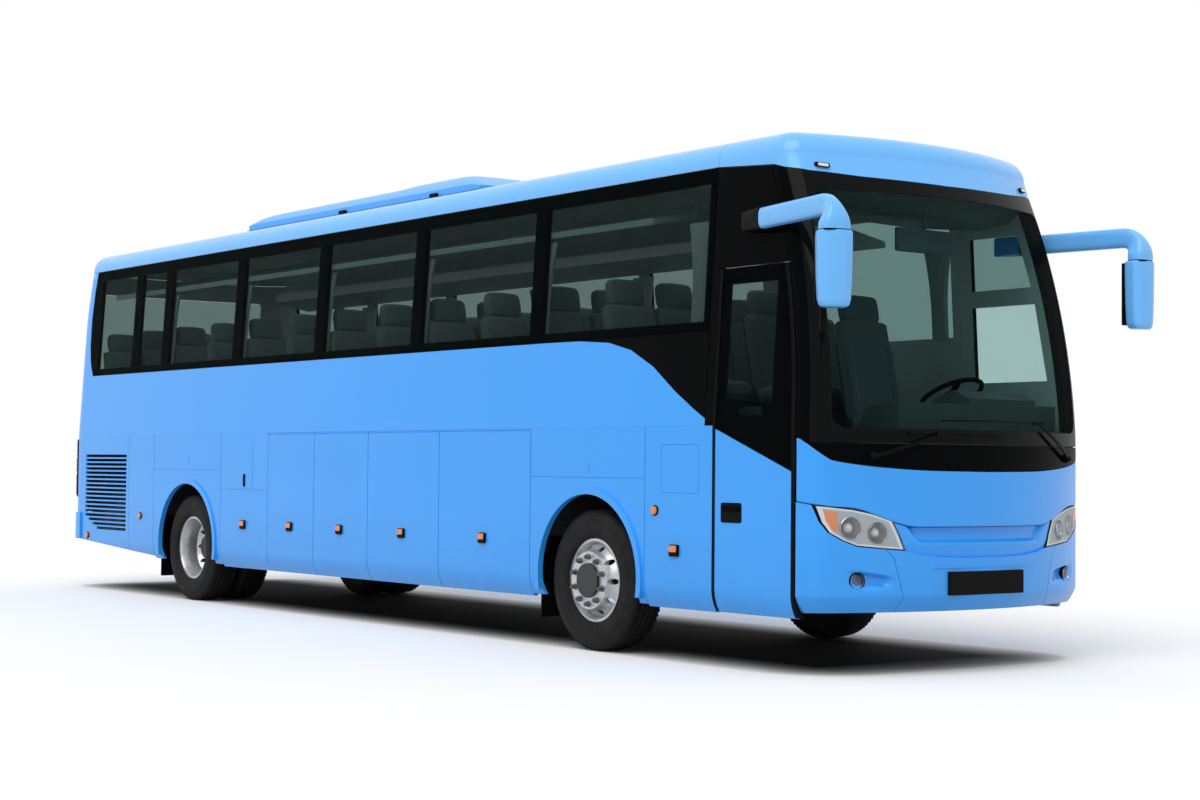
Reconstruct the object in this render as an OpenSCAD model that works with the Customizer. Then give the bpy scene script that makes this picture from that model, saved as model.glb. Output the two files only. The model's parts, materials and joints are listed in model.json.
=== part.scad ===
// A twelve-metre high-deck touring coach with one entry door at the front right.
// Millimetres, +X forward, +Y to the coach's left, +Z up, origin on the ground under the middle.

/* [Overall] */
// Length from the rear bumper to the front bumper
body_len = 12000; // [11800:10:12400]
// Width over the side panels
body_w = 2550; // [2500:10:2600]
// Distance between the two axles
wheelbase = 6450; // [6300:10:6600]
// Distance from the front axle to the front bumper
front_overhang = 2635; // [2600:5:2700]
// How far the mirrors reach past the front bumper
mirror_reach = 190; // [150:5:230]

/* [Heights] */
// Lower edge of the side panels
skirt_z = 355; // [330:5:400]
// Hinge line of the luggage doors, where the side walls begin
waist_z = 1595; // [1560:5:1630]
// Lower edge of the side windows
sill_z = 2225; // [2150:5:2280]
// Top of the side walls, where the roof begins
gutter_z = 3330; // [3250:5:3400]
// Top face of the passenger floor
deck_z = 1450; // [1420:5:1480]
// Top face of the driver's floor
cab_z = 1100; // [1050:5:1150]
// Top face of the luggage floor
hold_z = 450; // [430:5:480]

/* [Shell] */
// Inward lean of the side walls in degrees
side_lean = 3.6; // [2:0.1:4]
// Thickness of the side walls
wall_t = 45; // [35:1:60]
// Thickness of the lower panels and the luggage doors
panel_t = 30; // [20:1:40]
// Thickness of the roof
roof_t = 35; // [25:1:50]
// Thickness of the bonded glass
glass_t = 6; // [4:0.5:8]
// Gap between two fixed panels
seam = 5; // [3:0.5:8]
// Gap round a moving panel
door_gap = 7; // [6:0.5:12]
// Gap where a piece is seated on its carrier
seat_gap = 0.3; // [0.2:0.05:0.5]
// Radius of the roof's edge
roof_edge = 165; // [120:5:200]
// Radius of the roof's crown
crown_r = 9000; // [7000:100:12000]

/* [Front] */
// Radius of the front's bow seen from above
bow_front = 2800; // [2600:50:3200]
// Radius of the front corners
corner_front = 200; // [170:5:220]
// Height where the front begins to lean back
screen_z = 1400; // [1350:10:1450]
// Radius of the windscreen seen from the side
screen_r = 4600; // [4400:50:5200]
// Lower edge of the front bumper
chin_z = 410; // [380:5:440]
// Height of the crease on the front bumper
crease_z = 505; // [480:5:530]

/* [Rear] */
// Radius of the rear's bow seen from above
bow_rear = 8000; // [6000:100:12000]
// Radius of the rear corners
corner_rear = 280; // [220:5:300]
// How far the rear bumper stands out of the rear panel
bumper_out = 20; // [10:1:40]
// Lower edge of the engine door
engine_low = 810; // [780:5:860]
// Upper edge of the engine door's opening
engine_top = 1790; // [1700:5:1850]
// Half width of the engine door's opening
engine_half = 850; // [780:5:880]

/* [Entry door] */
// Width of the entry doorway
door_w = 810; // [780:5:860]
// Lower edge of the entry door
door_low = 365; // [360:5:400]
// Upper edge of the entry door's opening
door_top = 2645; // [2600:5:2680]
// Length of the door's swing arms between their two pivots
arm_len = 480; // [460:5:500]
// Distance of the swing arms' pillar behind the doorway's front edge
pillar_back = 110; // [105:1:130]
// Distance of the swing arms inside the side panel
arm_in = 155; // [140:5:170]

/* [Wheels] */
// Radius of the tyres and height of the axles
tyre_r = 505; // [490:1:520]
// Width of one tyre
tyre_w = 295; // [280:1:305]
// Radius of the rims' seat under the tyre
rim_r = 286; // [280:1:292]
// Distance from the middle to a front tyre's middle plane
front_track = 1090; // [1075:1:1100]
// Distance from the middle to an outer rear tyre's middle plane
rear_track = 1085; // [1075:1:1100]
// Distance between the two tyres of a rear pair
twin_pitch = 335; // [325:1:345]
// Distance from the middle to a kingpin
kingpin_y = 860; // [850:1:870]
// Radius of the wheel arches
arch_r = 585; // [575:1:600]
// Height of the wheel arches' centres
arch_z = 535; // [525:1:545]
// Radius of the axle stubs
stub_r = 45; // [40:1:50]
// Running clearance of pins and stubs on the radius
run_gap = 0.05; // [0.03:0.01:0.08]

/* [Seats] */
// Distance between two seat rows
seat_pitch = 790; // [770:5:810]
// Width of one seat
seat_w = 445; // [420:5:460]
// Number of rows ahead of the rear bench
seat_rows = 11; // [9:1:11]

/* [Hidden] */
$fn = 64;
half = body_w / 2;
x_rear = -(body_len + mirror_reach) / 2;
x_front = x_rear + body_len;
axle_f = x_front - front_overhang;
axle_r = axle_f - wheelbase;
axle_z = tyre_r;
tuck_z = 520;
tuck_in = 55;
tuck_r = (pow(tuck_z - skirt_z, 2) + tuck_in * tuck_in) / (2 * tuck_in);
tail_z = 2600;
tail_r = 3000;
jamb_back = 12;
door_x1 = tangent_x(1000) - jamb_back;
door_x0 = door_x1 - door_w;
band_x1 = door_x0 - 90;
side_x0 = x_rear + 420;
cap_rear = x_rear + 760;
cap_front = band_x1;
arch_half = 712;
arch_f0 = axle_f - arch_half;
arch_f1 = axle_f + 655;
arch_r0 = axle_r - 740;
arch_r1 = axle_r + arch_half;
grille_x1 = side_x0 + 0.67 * (arch_r0 - side_x0);
rear_bay = axle_r - x_rear;
locker_w = 926;
bay_x0 = arch_r1 + locker_w;
bay_share = [0, 0.205, 0.427, 0.694, 1];
bay_edge = [for (s = bay_share) bay_x0 + s * (arch_f0 - bay_x0)];
hinge_in = 6;
bead_r = 6;
hinge_z = waist_z - bead_r - seat_gap;
edge_c = half_w(gutter_z) - roof_edge;
edge_z = gutter_z + 20;
crown_c = edge_z - sqrt(pow(crown_r - roof_edge, 2) - edge_c * edge_c);
edge_turn = 90 - asin(edge_c / (crown_r - roof_edge));
floor_y = half - panel_t - seat_gap;
pillar_x = door_x1 - pillar_back;
pillar_y = half - arm_in;
step_z = 440;
rail_end = door_x0 - 60;
deck_y = half - panel_t - 8;
bow_cols = 8;

// Half width of the body at a height, with the lean above the waist and the tuck at the skirt
function half_w(z) = half - max(0, z - waist_z) * tan(side_lean);
function tuck(z) = z >= tuck_z ? 0 : tuck_r - sqrt(tuck_r * tuck_r - pow(tuck_z - z, 2));
function side_y(z) = half_w(z) - tuck(z);

// How far the front or the rear leans back at a height
function arc_back(d, r) = r - sqrt(r * r - d * d);
function end_back(e, z) =
  e > 0 ? arc_back(max(0, z - screen_z), screen_r) : arc_back(max(0, z - tail_z), tail_r);
function end_out(e) = e > 0 ? x_front : -x_rear - bumper_out;
function end_bow(e) = e > 0 ? bow_front : bow_rear;
function end_corner(e) = e > 0 ? corner_front : corner_rear;

// Where the corner meets the flat side at a height, measured outward along the end's direction
function tangent_p(e, z) =
  end_out(e) - end_back(e, z) - end_bow(e)
  + sqrt(pow(end_bow(e) - end_corner(e), 2) - pow(half_w(z) - end_corner(e), 2));
function tangent_x(z) = tangent_p(1, z);
function jamb_x(z) = tangent_x(max(z, 1000)) - jamb_back;

// A point on an end of the body: u runs 0 to 1 over the bow, 1 to 2 round the corner
// and 2 to 3 along the side to xe
function shell_pt(e, u, z, off, xe) =
  let (a = abs(u), s = u < 0 ? -1 : 1, bow = end_bow(e), cr = end_corner(e), o = off - tuck(z))
  let (c = end_out(e) - end_back(e, z) - bow, w = half_w(z), k = w - cr, p = tangent_p(e, z))
  let (turn = asin(k / (bow - cr)), t1 = a * turn, t2 = turn + (a - 1) * (90 - turn))
  a <= 1 ? [e * (c + (bow + o) * cos(t1)), s * (bow + o) * sin(t1), z]
  : a <= 2 ? [e * (p + (cr + o) * cos(t2)), s * (k + (cr + o) * sin(t2)), z]
  : [e * (p + (a - 2) * (xe - p)), s * (w + o), z];

// How far the flat facets of the bow lie behind its true arc at u
function bow_drop(u) =
  let (f = abs(u) * bow_cols - floor(abs(u) * bow_cols))
  let (turn = asin((half - corner_front) / (bow_front - corner_front)))
  bow_front * (1 - cos(turn / bow_cols / 2)) * 4 * f * (1 - f);

// The value of u on the bow at a Y and a height
function u_at(e, y, z) =
  asin(y / end_bow(e)) / asin((half_w(z) - end_corner(e)) / (end_bow(e) - end_corner(e)));

// Even steps from a to b, a list mirrored to its negative side, and a value read from a table
function spread(a, b, n) = [for (i = [0:n]) a + (b - a) * i / n];
function both(list) = concat([for (i = [len(list) - 1:-1:1]) -list[i]], list);
function mix(table, v) = lookup(v, table);

// Tables of heights by u: the line under the black base, the bonnet line and the roof cap's lower edge
dark_line = [[0, 1307], [0.4, 1312], [0.85, 1350], [1, 1375], [1.4, 1430], [1.7, 1478], [2, 1510], [3, 1515]];
bonnet_line = [[0, 948], [0.5, 949], [0.625, 978], [0.75, 1027], [0.875, 1068], [1, 1076], [1.6, 1093],
  [2, 1104], [3, 1108]];
cap_line = [[0, 3205], [0.6, 3215], [1, 3240], [1.6, 3262], [2, 3290], [3, gutter_z]];
cap_side_z = 3290;
screen_low = 1480;
screen_u = 1.6;

// Extrudes a Y-Z outline from x0 to x1
module along_x(x0, x1) translate([x0, 0, 0]) rotate([90, 0, 90]) linear_extrude(x1 - x0) children();

// Extrudes an X-Z outline from y0 to y1
module along_y(y0, y1) translate([0, y1, 0]) rotate([90, 0, 0]) linear_extrude(y1 - y0) children();

// Box between two opposite corners
module block(a, b) translate(a) cube(b - a);

// Cylinder along Y between y0 and y1
module rod_y(x, z, r, y0, y1) translate([x, y1, z]) rotate([90, 0, 0]) cylinder(r = r, h = y1 - y0);

// Puts a left-hand piece on the left, s = 1, or on the right, s = -1
module on_side(s) mirror([0, s < 0 ? 1 : 0, 0]) children();

// Plate that follows the side of the body between two heights
module side_plate(x0, x1, z0, z1, out = 0, t = panel_t) {
  mids = concat(spread(skirt_z, tuck_z, 3), [waist_z]);
  zs = concat([z0], [for (z = mids) if (z > z0 + 1 && z < z1 - 1) z], [z1]);
  n = len(zs) - 1;
  along_x(x0, x1)
    polygon(concat(
      [for (z = zs) [side_y(z) - out, z]],
      [for (i = [n:-1:0]) [side_y(zs[i]) - out - t, zs[i]]]
    ));
}

// Piece of such a plate inside an X-Z outline
module side_piece(x0, x1, z0, z1, out, t) {
  intersection() {
    side_plate(x0, x1, z0, z1, out, t);
    along_y(half - 400, half + 100) children();
  }
}

// Closed sheet between an outer and an inner grid of m rows and n columns
module sheet(pts, m, n, flip, pole = false) {
  function id(s, r, c) = s * m * n + r * n + (pole && r == m - 1 ? 0 : c);
  full = pole ? m - 3 : m - 2;
  tri = concat(
    [for (r = [0:full], c = [0:n - 2]) [id(0, r, c), id(0, r + 1, c), id(0, r + 1, c + 1)]],
    [for (r = [0:m - 2], c = [0:n - 2]) [id(0, r, c), id(0, r + 1, c + 1), id(0, r, c + 1)]],
    [for (r = [0:full], c = [0:n - 2]) [id(1, r, c), id(1, r + 1, c + 1), id(1, r + 1, c)]],
    [for (r = [0:m - 2], c = [0:n - 2]) [id(1, r, c), id(1, r, c + 1), id(1, r + 1, c + 1)]],
    [for (c = [0:n - 2]) [id(0, 0, c), id(0, 0, c + 1), id(1, 0, c + 1)]],
    [for (c = [0:n - 2]) [id(0, 0, c), id(1, 0, c + 1), id(1, 0, c)]],
    pole ? [] : [for (c = [0:n - 2]) [id(0, m - 1, c + 1), id(0, m - 1, c), id(1, m - 1, c)]],
    pole ? [] : [for (c = [0:n - 2]) [id(0, m - 1, c + 1), id(1, m - 1, c), id(1, m - 1, c + 1)]],
    [for (r = [0:m - 2]) [id(0, r + 1, 0), id(0, r, 0), id(1, r, 0)]],
    [for (r = [0:m - 2]) [id(0, r + 1, 0), id(1, r, 0), id(1, r + 1, 0)]],
    [for (r = [0:m - 2]) [id(0, r, n - 1), id(0, r + 1, n - 1), id(1, r + 1, n - 1)]],
    [for (r = [0:m - 2]) [id(0, r, n - 1), id(1, r + 1, n - 1), id(1, r, n - 1)]]
  );
  polyhedron(pts, flip ? [for (t = tri) [t[0], t[2], t[1]]] : tri);
}

// Sheet on an end of the body over the columns us, from height zl(u) to zh(u), between offsets o1 and o2
module skin(e, us, zl, zh, rows, o1, o2) {
  pts = [
    for (o = [o1, o2]) for (r = [0:rows]) for (u = us)
      let (z = zl(u) + (zh(u) - zl(u)) * r / rows)
      shell_pt(e, u, z, o, e > 0 ? jamb_x(z) : -side_x0)
  ];
  sheet(pts, rows + 1, len(us), e < 0);
}

// Roof cap that closes an end of the roof from the rim zr(u) up to the crown at the joint xj
module roof_cap(e, us, zr, xj) {
  turns = spread(0, edge_turn, 5);
  shares = [0.35, 0.7, 1];
  function rim(u, z, o) = shell_pt(e, u, z, o, e * xj);
  function edge(u, t, o) =
    let (p = rim(u, gutter_z, -(roof_edge - (roof_edge + o) * cos(t))))
    [p[0], p[1], edge_z + (roof_edge + o) * sin(t)];
  function crown(u, f, o) =
    let (p = edge(u, edge_turn, o), y = (1 - f) * (edge_c + (roof_edge + o) * cos(edge_turn)))
    [p[0] + f * (xj - p[0]), p[1] * (1 - f), crown_c + sqrt(pow(crown_r + o, 2) - y * y)];
  pts = [
    for (o = [0, -roof_t]) each concat(
      [for (u = us) rim(u, zr(u), o)],
      [for (t = turns) for (u = us) edge(u, t, o)],
      [for (f = shares) for (u = us) crown(u, f, o)]
    )
  ];
  sheet(pts, 1 + len(turns) + len(shares), len(us), e < 0, true);
}

// Outline of the roof's section at an offset, from the left gutter to the right one
function roof_half(o) = concat(
  [[half_w(gutter_z) + o, gutter_z]],
  [for (t = spread(0, edge_turn, 5)) [edge_c + (roof_edge + o) * cos(t), edge_z + (roof_edge + o) * sin(t)]],
  [for (f = [0.35, 0.7]) let (y = (1 - f) * (edge_c + (roof_edge + o) * cos(edge_turn)))
    [y, crown_c + sqrt(pow(crown_r + o, 2) - y * y)]]
);
function roof_line(o) =
  let (h = roof_half(o), n = len(h) - 1)
  concat(h, [[0, crown_c + crown_r + o]], [for (i = [n:-1:0]) [-h[i][0], h[i][1]]]);

module roof_panel() {
  color("LightSkyBlue") along_x(cap_rear, cap_front)
    polygon(concat(roof_line(0), [for (i = [len(roof_line(0)) - 1:-1:0]) roof_line(-roof_t)[i]]));
}

front_us = both(concat(spread(0, 1, bow_cols), spread(1.2, 2, 4), [3]));
rear_us = both(concat(spread(0, 1, 4), spread(1.2, 2, 4), [3]));
module roof_front_cap() {
  color("LightSkyBlue") roof_cap(1, front_us, function(u) mix(cap_line, abs(u)), cap_front);
}

module roof_rear_cap() color("LightSkyBlue") roof_cap(-1, rear_us, function(u) gutter_z, cap_rear);

// Curve where the blue waist falls away to the door, as X from the band's front end and Z
swoosh = [[-1862, 0], [-1458, -4], [-1108, -29], [-844, -92], [-587, -215], [-336, -389], [-127, -514],
  [0, -590]];
function swoosh_pt(p, d) = [band_x1 + p[0], sill_z + p[1] + d];

// Rear edges of the panes from the front, as distances behind the band's front end
pane_x = [0, 2029, 3719, 5310, 6865, 8400, 9100];
pane_n = len(pane_x);
function pane_at(i) = i < pane_n ? band_x1 - pane_x[i] : side_x0;

// Width of the window frame behind the edges of a pane, and the deeper one at the band's rear end
frame_w = 75;
frame_rear = 215;
function frame_at(i) = i < pane_n ? frame_w : frame_rear;

// Curved rear end of the band, as X from the rear corner and the share of the window's height
band_end = [[88, 1], [40, 0.82], [8, 0.55], [18, 0.29], [60, 0.12], [136, 0]];

// Outline of the black band with an inset from its outer edges
module band_outline(d) {
  polygon(concat(
    [for (p = band_end) [side_x0 + p[0] + d, sill_z + d + p[1] * (gutter_z - sill_z - 2 * d)]],
    [for (p = swoosh) if (p[1] > -580) swoosh_pt(p, d)],
    [[band_x1 - d, waist_z + 48 + d], [band_x1 - d, gutter_z - d]]
  ));
}

// Side wall of one side: the waist flush with the outside, the window frame behind the glass
module side_wall(s) {
  frame_out = glass_t + seat_gap;
  color("SteelBlue") on_side(s) difference() {
    side_plate(side_x0, band_x1, waist_z, gutter_z, 0, wall_t);
    side_piece(side_x0, band_x1 + 1, waist_z, gutter_z + 1, -20, 20 + frame_out) band_outline(0);
    for (i = [0:pane_n - 1])
      block([pane_at(i + 1) + frame_at(i + 1), half - 300, sill_z + 70],
        [pane_at(i) - frame_w, half + 50, gutter_z - 105]);
  }
}
module side_wall_right() side_wall(-1);

// Left wall with the driver's window ahead of the band
module side_wall_left() {
  frame_out = glass_t + seat_gap;
  side_wall(1);
  color("SteelBlue") difference() {
    union() {
      side_piece(door_x0, x_front, door_low, waist_z, 0, panel_t) cab_outline();
      side_piece(band_x1 + 0.4, x_front, waist_z, gutter_z, frame_out, wall_t - frame_out) cab_outline();
    }
    along_y(half - 300, half + 50) {
      cab_window(1950, 2500);
      cab_window(2620, 3000);
    }
  }
}

// Outline of one of the driver's two windows, which follows the front pillar
module cab_window(z0, z1) {
  x = door_x0 + 36;
  polygon([[x, z0], [jamb_x(z0) - frame_w, z0], [jamb_x(z1) - frame_w, z1], [x, z1]]);
}

// Outline of the wall beside the driver, up to the front pillar and the roof cap
module cab_outline() {
  zs = concat([door_low, screen_z - 100], spread(screen_z, cap_side_z - 2, 12));
  polygon(concat(
    [for (z = zs) [jamb_x(z) - (z < screen_z ? 0.4 : 1.4), z]],
    [[band_x1 + 0.4, gutter_z - 2], [band_x1 + 0.4, door_low]]
  ));
}

// Bonded panes of one side, each with a gap to its neighbours
module side_glass(s) {
  color("DarkSlateGray", 0.6) on_side(s) {
    for (i = [0:pane_n - 2])
      side_plate(pane_at(i + 1) + 4, pane_at(i) - 4, sill_z + 4, gutter_z - 4, 0, glass_t);
    side_piece(side_x0, pane_at(pane_n - 1) - 4, sill_z + 4, gutter_z - 4, 0, glass_t) band_outline(4);
    side_piece(band_x1 - 1900, band_x1 - 4, waist_z + 20, sill_z - 4, 0, glass_t) band_outline(4);
  }
}
module side_glass_right() side_glass(-1);

module side_glass_left() {
  side_glass(1);
  color("DarkSlateGray", 0.6)
    side_piece(band_x1 + 4, x_front, waist_z + 4, cap_side_z - 8, 0, glass_t) cab_outline();
}

// Wheel arch cut, and the lip round it
module arch_cut(x) rod_y(x, arch_z, arch_r, half - 400, half + 100);

module arch_lip(x) {
  intersection() {
    rod_y(x, arch_z, arch_r + 48, half - panel_t, half + 16);
    block([x - 700, half - 100, skirt_z + 60], [x + 700, half + 50, waist_z - 200]);
  }
}

// One fixed lower panel between two joints
module low_panel(x0, x1, z0, z1 = waist_z) side_plate(x0 + seam / 2, x1 - seam / 2, z0, z1, 0, panel_t);

// Square lamp housing on the lower side
module marker_box(x, z) block([x - 45, half - 1, z - 38], [x + 45, half + 9, z + 38]);

// Room under the rear overhang, whose lower edge rises to the rear bumper
tail_low = 510;
module tail_rise() {
  along_y(half - 400, half + 100)
    polygon([[side_x0 - 50, tail_low], [arch_r0, skirt_z + 40], [arch_r0 + 50, 0], [side_x0 - 50, 0]]);
}

// Slots of the side grille: pitch, height of one slot, lowest slot, and the corner cut off below
slot_n = 18;
slot_pitch = 44;
slot_h = 28;
slot_z = 622;
slot_corner = 747;
slot_slope = 2.39;
function slot_x(z) = side_x0 + 90 + max(0, slot_corner - z) * slot_slope;

// Fixed lower panels of one side
module skirt(s) {
  color("DeepSkyBlue") on_side(s) {
    difference() {
      low_panel(side_x0, grille_x1, skirt_z + 40);
      for (i = [0:slot_n - 1]) let (z = slot_z + i * slot_pitch)
        block([slot_x(z), half - 60, z], [grille_x1 - 70, half + 20, z + slot_h]);
      tail_rise();
    }
    difference() {
      low_panel(grille_x1, arch_r0, skirt_z + 40);
      tail_rise();
    }
    difference() {
      union() {
        low_panel(arch_r0, arch_r1, skirt_z + 20);
        arch_lip(axle_r);
      }
      arch_cut(axle_r);
      side_plate(arch_r0, arch_r1, 1252, 1258, -1, 5);
    }
    difference() {
      low_panel(arch_r1, bay_x0, skirt_z);
      side_plate(arch_r1, bay_x0, 1074, 1080, -1, 5);
    }
    difference() {
      union() {
        low_panel(arch_f0, arch_f1, skirt_z + 20);
        arch_lip(axle_f);
      }
      arch_cut(axle_f);
      side_plate(arch_f0, arch_f1, 1235, 1241, -1, 5);
    }
    difference() {
      low_panel(arch_f1, door_x0 - 4, skirt_z + 5);
      difference() {
        block([arch_f1 + 180, half - 4, 1140], [arch_f1 + 582, half + 20, 1472]);
        block([arch_f1 + 186, half - 10, 1146], [arch_f1 + 576, half + 30, 1466]);
      }
    }
  }
}
module skirt_right() skirt(-1);
module skirt_left() skirt(1);

// Luggage door with its hinge bead along the upper edge and a lamp housing
module bay_door(s, i) {
  x0 = bay_edge[i] + door_gap / 2;
  x1 = bay_edge[i + 1] - door_gap / 2;
  color("DeepSkyBlue") on_side(s) {
    side_plate(x0, x1, skirt_z, hinge_z - 2 * bead_r, 0, panel_t);
    along_x(x0, x1) {
      translate([half - hinge_in, hinge_z]) circle(bead_r);
      translate([half - hinge_in - bead_r, hinge_z - 2 * bead_r - 1]) square([bead_r, 2 * bead_r + 1]);
    }
    marker_box((x0 + x1) / 2, 764);
  }
}
module bay_door_right_1() bay_door(-1, 0);
module bay_door_right_2() bay_door(-1, 1);
module bay_door_right_3() bay_door(-1, 2);
module bay_door_right_4() bay_door(-1, 3);
module bay_door_left_1() bay_door(1, 0);
module bay_door_left_2() bay_door(1, 1);
module bay_door_left_3() bay_door(1, 2);
module bay_door_left_4() bay_door(1, 3);

// Front: outlines of one headlamp and of the fog lamp's scoop, as distance from the side and height
lamp_line = [[26, 1092], [251, 1067], [527, 990], [618, 799], [461, 811], [284, 827], [191, 862], [100, 907]];
scoop_line = [[207, 695], [445, 651], [529, 545], [223, 548]];
fog_at = [288, 609];
fog_r = 46;
module lamp_outline(d) lamp_shape(lamp_line, [325, 950], d);
module scoop_outline(d) lamp_shape(scoop_line, [350, 610], d);

// Outline drawn in by d about its middle c, on the left side
module lamp_shape(line, c, d) {
  polygon([for (p = line) let (q = c + (p - c) * (1 - d / 180)) [half - q[0], q[1]]]);
}

// Recess between the headlamps and the pan behind it, as distance from the side and height
recess_line = [[600, 939], [650, 830], [725, 778], [875, 762], [1075, 752]];
pan_line = [[585, 947], [650, 800], [690, 742]];
module middle_outline(line) {
  n = len(line) - 1;
  polygon(concat([for (p = line) [half - p[0], p[1]]], [for (i = [n:-1:0]) [line[i][0] - half, line[i][1]]]));
}

// Extrudes a Y-Z outline through the front
module front_cut() along_x(x_front - 700, x_front + 100) children();

module front_panel() {
  color("DeepSkyBlue") skin(1, front_us, function(u) mix(bonnet_line, abs(u)) + 0.4,
    function(u) mix(dark_line, abs(u)) - (abs(u) > screen_u ? 0.4 : 1.5), 2, 0, -panel_t);
}

// Columns of the front that the lamps take up
lamp_us = [for (u = front_us) if (u >= 0.5 && u <= 2) u];
module front_bumper() {
  color("DeepSkyBlue") difference() {
    union() {
      skin(1, front_us, function(u) chin_z, function(u) crease_z + 15, 3, 0, -panel_t);
      skin(1, front_us, function(u) crease_z + 15,
        function(u) mix(bonnet_line, abs(u)) - 0.4, 2, 0, -panel_t);
    }
    for (s = [-1, 1]) on_side(s) front_cut() {
      lamp_outline(0);
      scoop_outline(0);
    }
    front_cut() middle_outline(recess_line);
  }
  color("DeepSkyBlue") for (s = [-1, 1]) on_side(s) intersection() {
    skin(1, lamp_us, function(u) crease_z, function(u) 730, 1, -panel_t - seat_gap, -panel_t - 20);
    front_cut() scoop_outline(-14);
  }
  color("Black") block([x_front - 25, -345, 512], [x_front + 5, 345, 664]);
  color("DeepSkyBlue") intersection() {
    skin(1, both(spread(0, 0.75, 6)), function(u) 700, function(u) 948, 1, -panel_t - 0.3, -panel_t - 12);
    front_cut() middle_outline(pan_line);
  }
}

module screen_base() {
  color("Black") skin(1, both(concat(spread(0, 1, bow_cols), [1.2, 1.4, screen_u])),
    function(u) mix(dark_line, abs(u)) + 1.5, function(u) screen_low - 0.4, 1, 0, -panel_t);
}

module windscreen() {
  color("DarkSlateGray", 0.6) skin(1, both(concat(spread(0, 1, bow_cols), [1.2, 1.4, screen_u])),
    function(u) screen_low + 0.4, function(u) mix(cap_line, abs(u)) - 0.4, 8, 0, -glass_t - 4);
}

// Corner pillars beside the windscreen, and the panel above the door
module front_pillars() {
  us = [screen_u + 0.01, 1.8, 2, 3];
  color("Black") {
    for (s = [-1, 1]) on_side(s) skin(1, us, function(u) mix(dark_line, abs(u)) + 0.4,
      function(u) mix(cap_line, min(2, abs(u))) - 0.4, 10, 0, -wall_t);
    on_side(-1) side_piece(band_x1 + 0.4, x_front, door_top, gutter_z, 0, wall_t) polygon(concat(
      [for (z = spread(door_top, cap_side_z - 2, 4)) [jamb_x(z) - 1.2, z]],
      [[band_x1 + 0.4, gutter_z - 2], [band_x1 + 0.4, door_top]]
    ));
    on_side(-1)
      side_plate(band_x1 + 0.4, door_x0 - door_gap, waist_z + 0.4, door_top + 1, 0, wall_t);
  }
}

// Headlamps on a flange behind the bumper, round fog lamps in the scoops, tall tail lamps
module lamps() {
  color("Gainsboro") for (s = [-1, 1]) on_side(s) {
    intersection() {
      skin(1, lamp_us, function(u) 780, function(u) mix(bonnet_line, u) - 3, 1, -2, -70);
      front_cut() lamp_outline(3);
    }
    intersection() {
      skin(1, lamp_us, function(u) 780, function(u) mix(bonnet_line, u) - 3, 1, -panel_t - seat_gap, -70);
      front_cut() lamp_outline(-6);
    }
    intersection() {
      skin(1, lamp_us, function(u) crease_z, function(u) 730, 1, -8, -panel_t);
      front_cut() translate([half - fog_at[0], fog_at[1]]) circle(fog_r, $fn = 32);
    }
  }
  color("FireBrick") for (s = [-1, 1])
    skin(-1, s < 0 ? spread(-1.8, -1, 4) : spread(1, 1.8, 4), function(u) 950,
      function(u) 1560, 1, 14, seat_gap);
}

// Small amber lamps on the fixed panels and the two on the roof's front edge
marker_at = [[arch_r1 + 463, 757], [arch_f1 + 333, 754]];
marker_round = [[side_x0 + 165, 552], [grille_x1 + 280, 785], [arch_f1 + 118, 1021]];
module markers() {
  color("Orange") {
    for (s = [-1, 1]) on_side(s) {
      for (p = marker_at) block([p[0] - 45, half, p[1] - 38], [p[0] + 45, half + 9, p[1] + 38]);
      for (p = marker_round) rod_y(p[0], p[1], 32, half, half + 12);
    }
    for (s = [-1, 1])
      skin(1, s < 0 ? [-1, -0.875] : [0.875, 1], function(u) 3268, function(u) 3302, 1, 20, 5.2);
  }
}

// Wipers parked low on the screen: pivot, arm and blade follow the bow
module wiper(y0, z0, y1, z1, b0, b1, bz) {
  u0 = u_at(1, y0, z0);
  u1 = u_at(1, y1, z1);
  function rise(u) = z0 + (z1 - z0) * (u - u0) / (u1 - u0);
  ua = u0 < u1 ? spread(u0, u1, 3) : spread(u1, u0, 3);
  skin(1, [u0 - 0.025, u0 + 0.025], function(u) z0 - 28, function(u) z0 + 28, 1, 44,
    0.6 - bow_drop(abs(u0) - 0.025));
  skin(1, ua, function(u) rise(u) - 13, function(u) rise(u) + 13, 1, 40, 24);
  skin(1, spread(u_at(1, b0, bz), u_at(1, b1, bz), 5), function(u) bz - 14, function(u) bz + 14, 1, 26, 2);
}
module wipers() {
  color("Black") {
    wiper(378 - half, 1400, -420, 1545, -655, 130, 1545);
    wiper(half - 304, 1400, 520, 1630, -400, 640, 1630);
  }
}

// Mirror on an arm that reaches forward from the panel above the door
mirror_z = 2930;
mirror_base_x = door_x0 + 370;
mirror_toe = 25;
module mirror_arm() {
  sweep = 13;
  bend = 130;
  neck = 40;
  tip = 25 * cos(mirror_toe) + 67.5 * sin(mirror_toe) + 45;
  run = (x_front + mirror_reach - mirror_base_x - tip) / cos(sweep) - bend;
  translate([mirror_base_x, half_w(mirror_z) + 48, mirror_z]) rotate([0, 0, sweep]) {
    rotate([90, 0, 90]) linear_extrude(run) oval(84, 138);
    translate([run, 0, -bend]) rotate([90, 0, 0]) rotate_extrude(angle = 90, $fn = 96)
      translate([bend, 0]) rotate(90) oval(84, 138);
    translate([run + bend, 0, -bend - neck]) linear_extrude(neck) rotate(90) oval(84, 138);
    translate([run + bend, 0, -bend - neck]) rotate([0, 0, mirror_toe - sweep]) translate([0, 0, -470])
      linear_extrude(470) rounded(140, 225, 45);
  }
}

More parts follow.
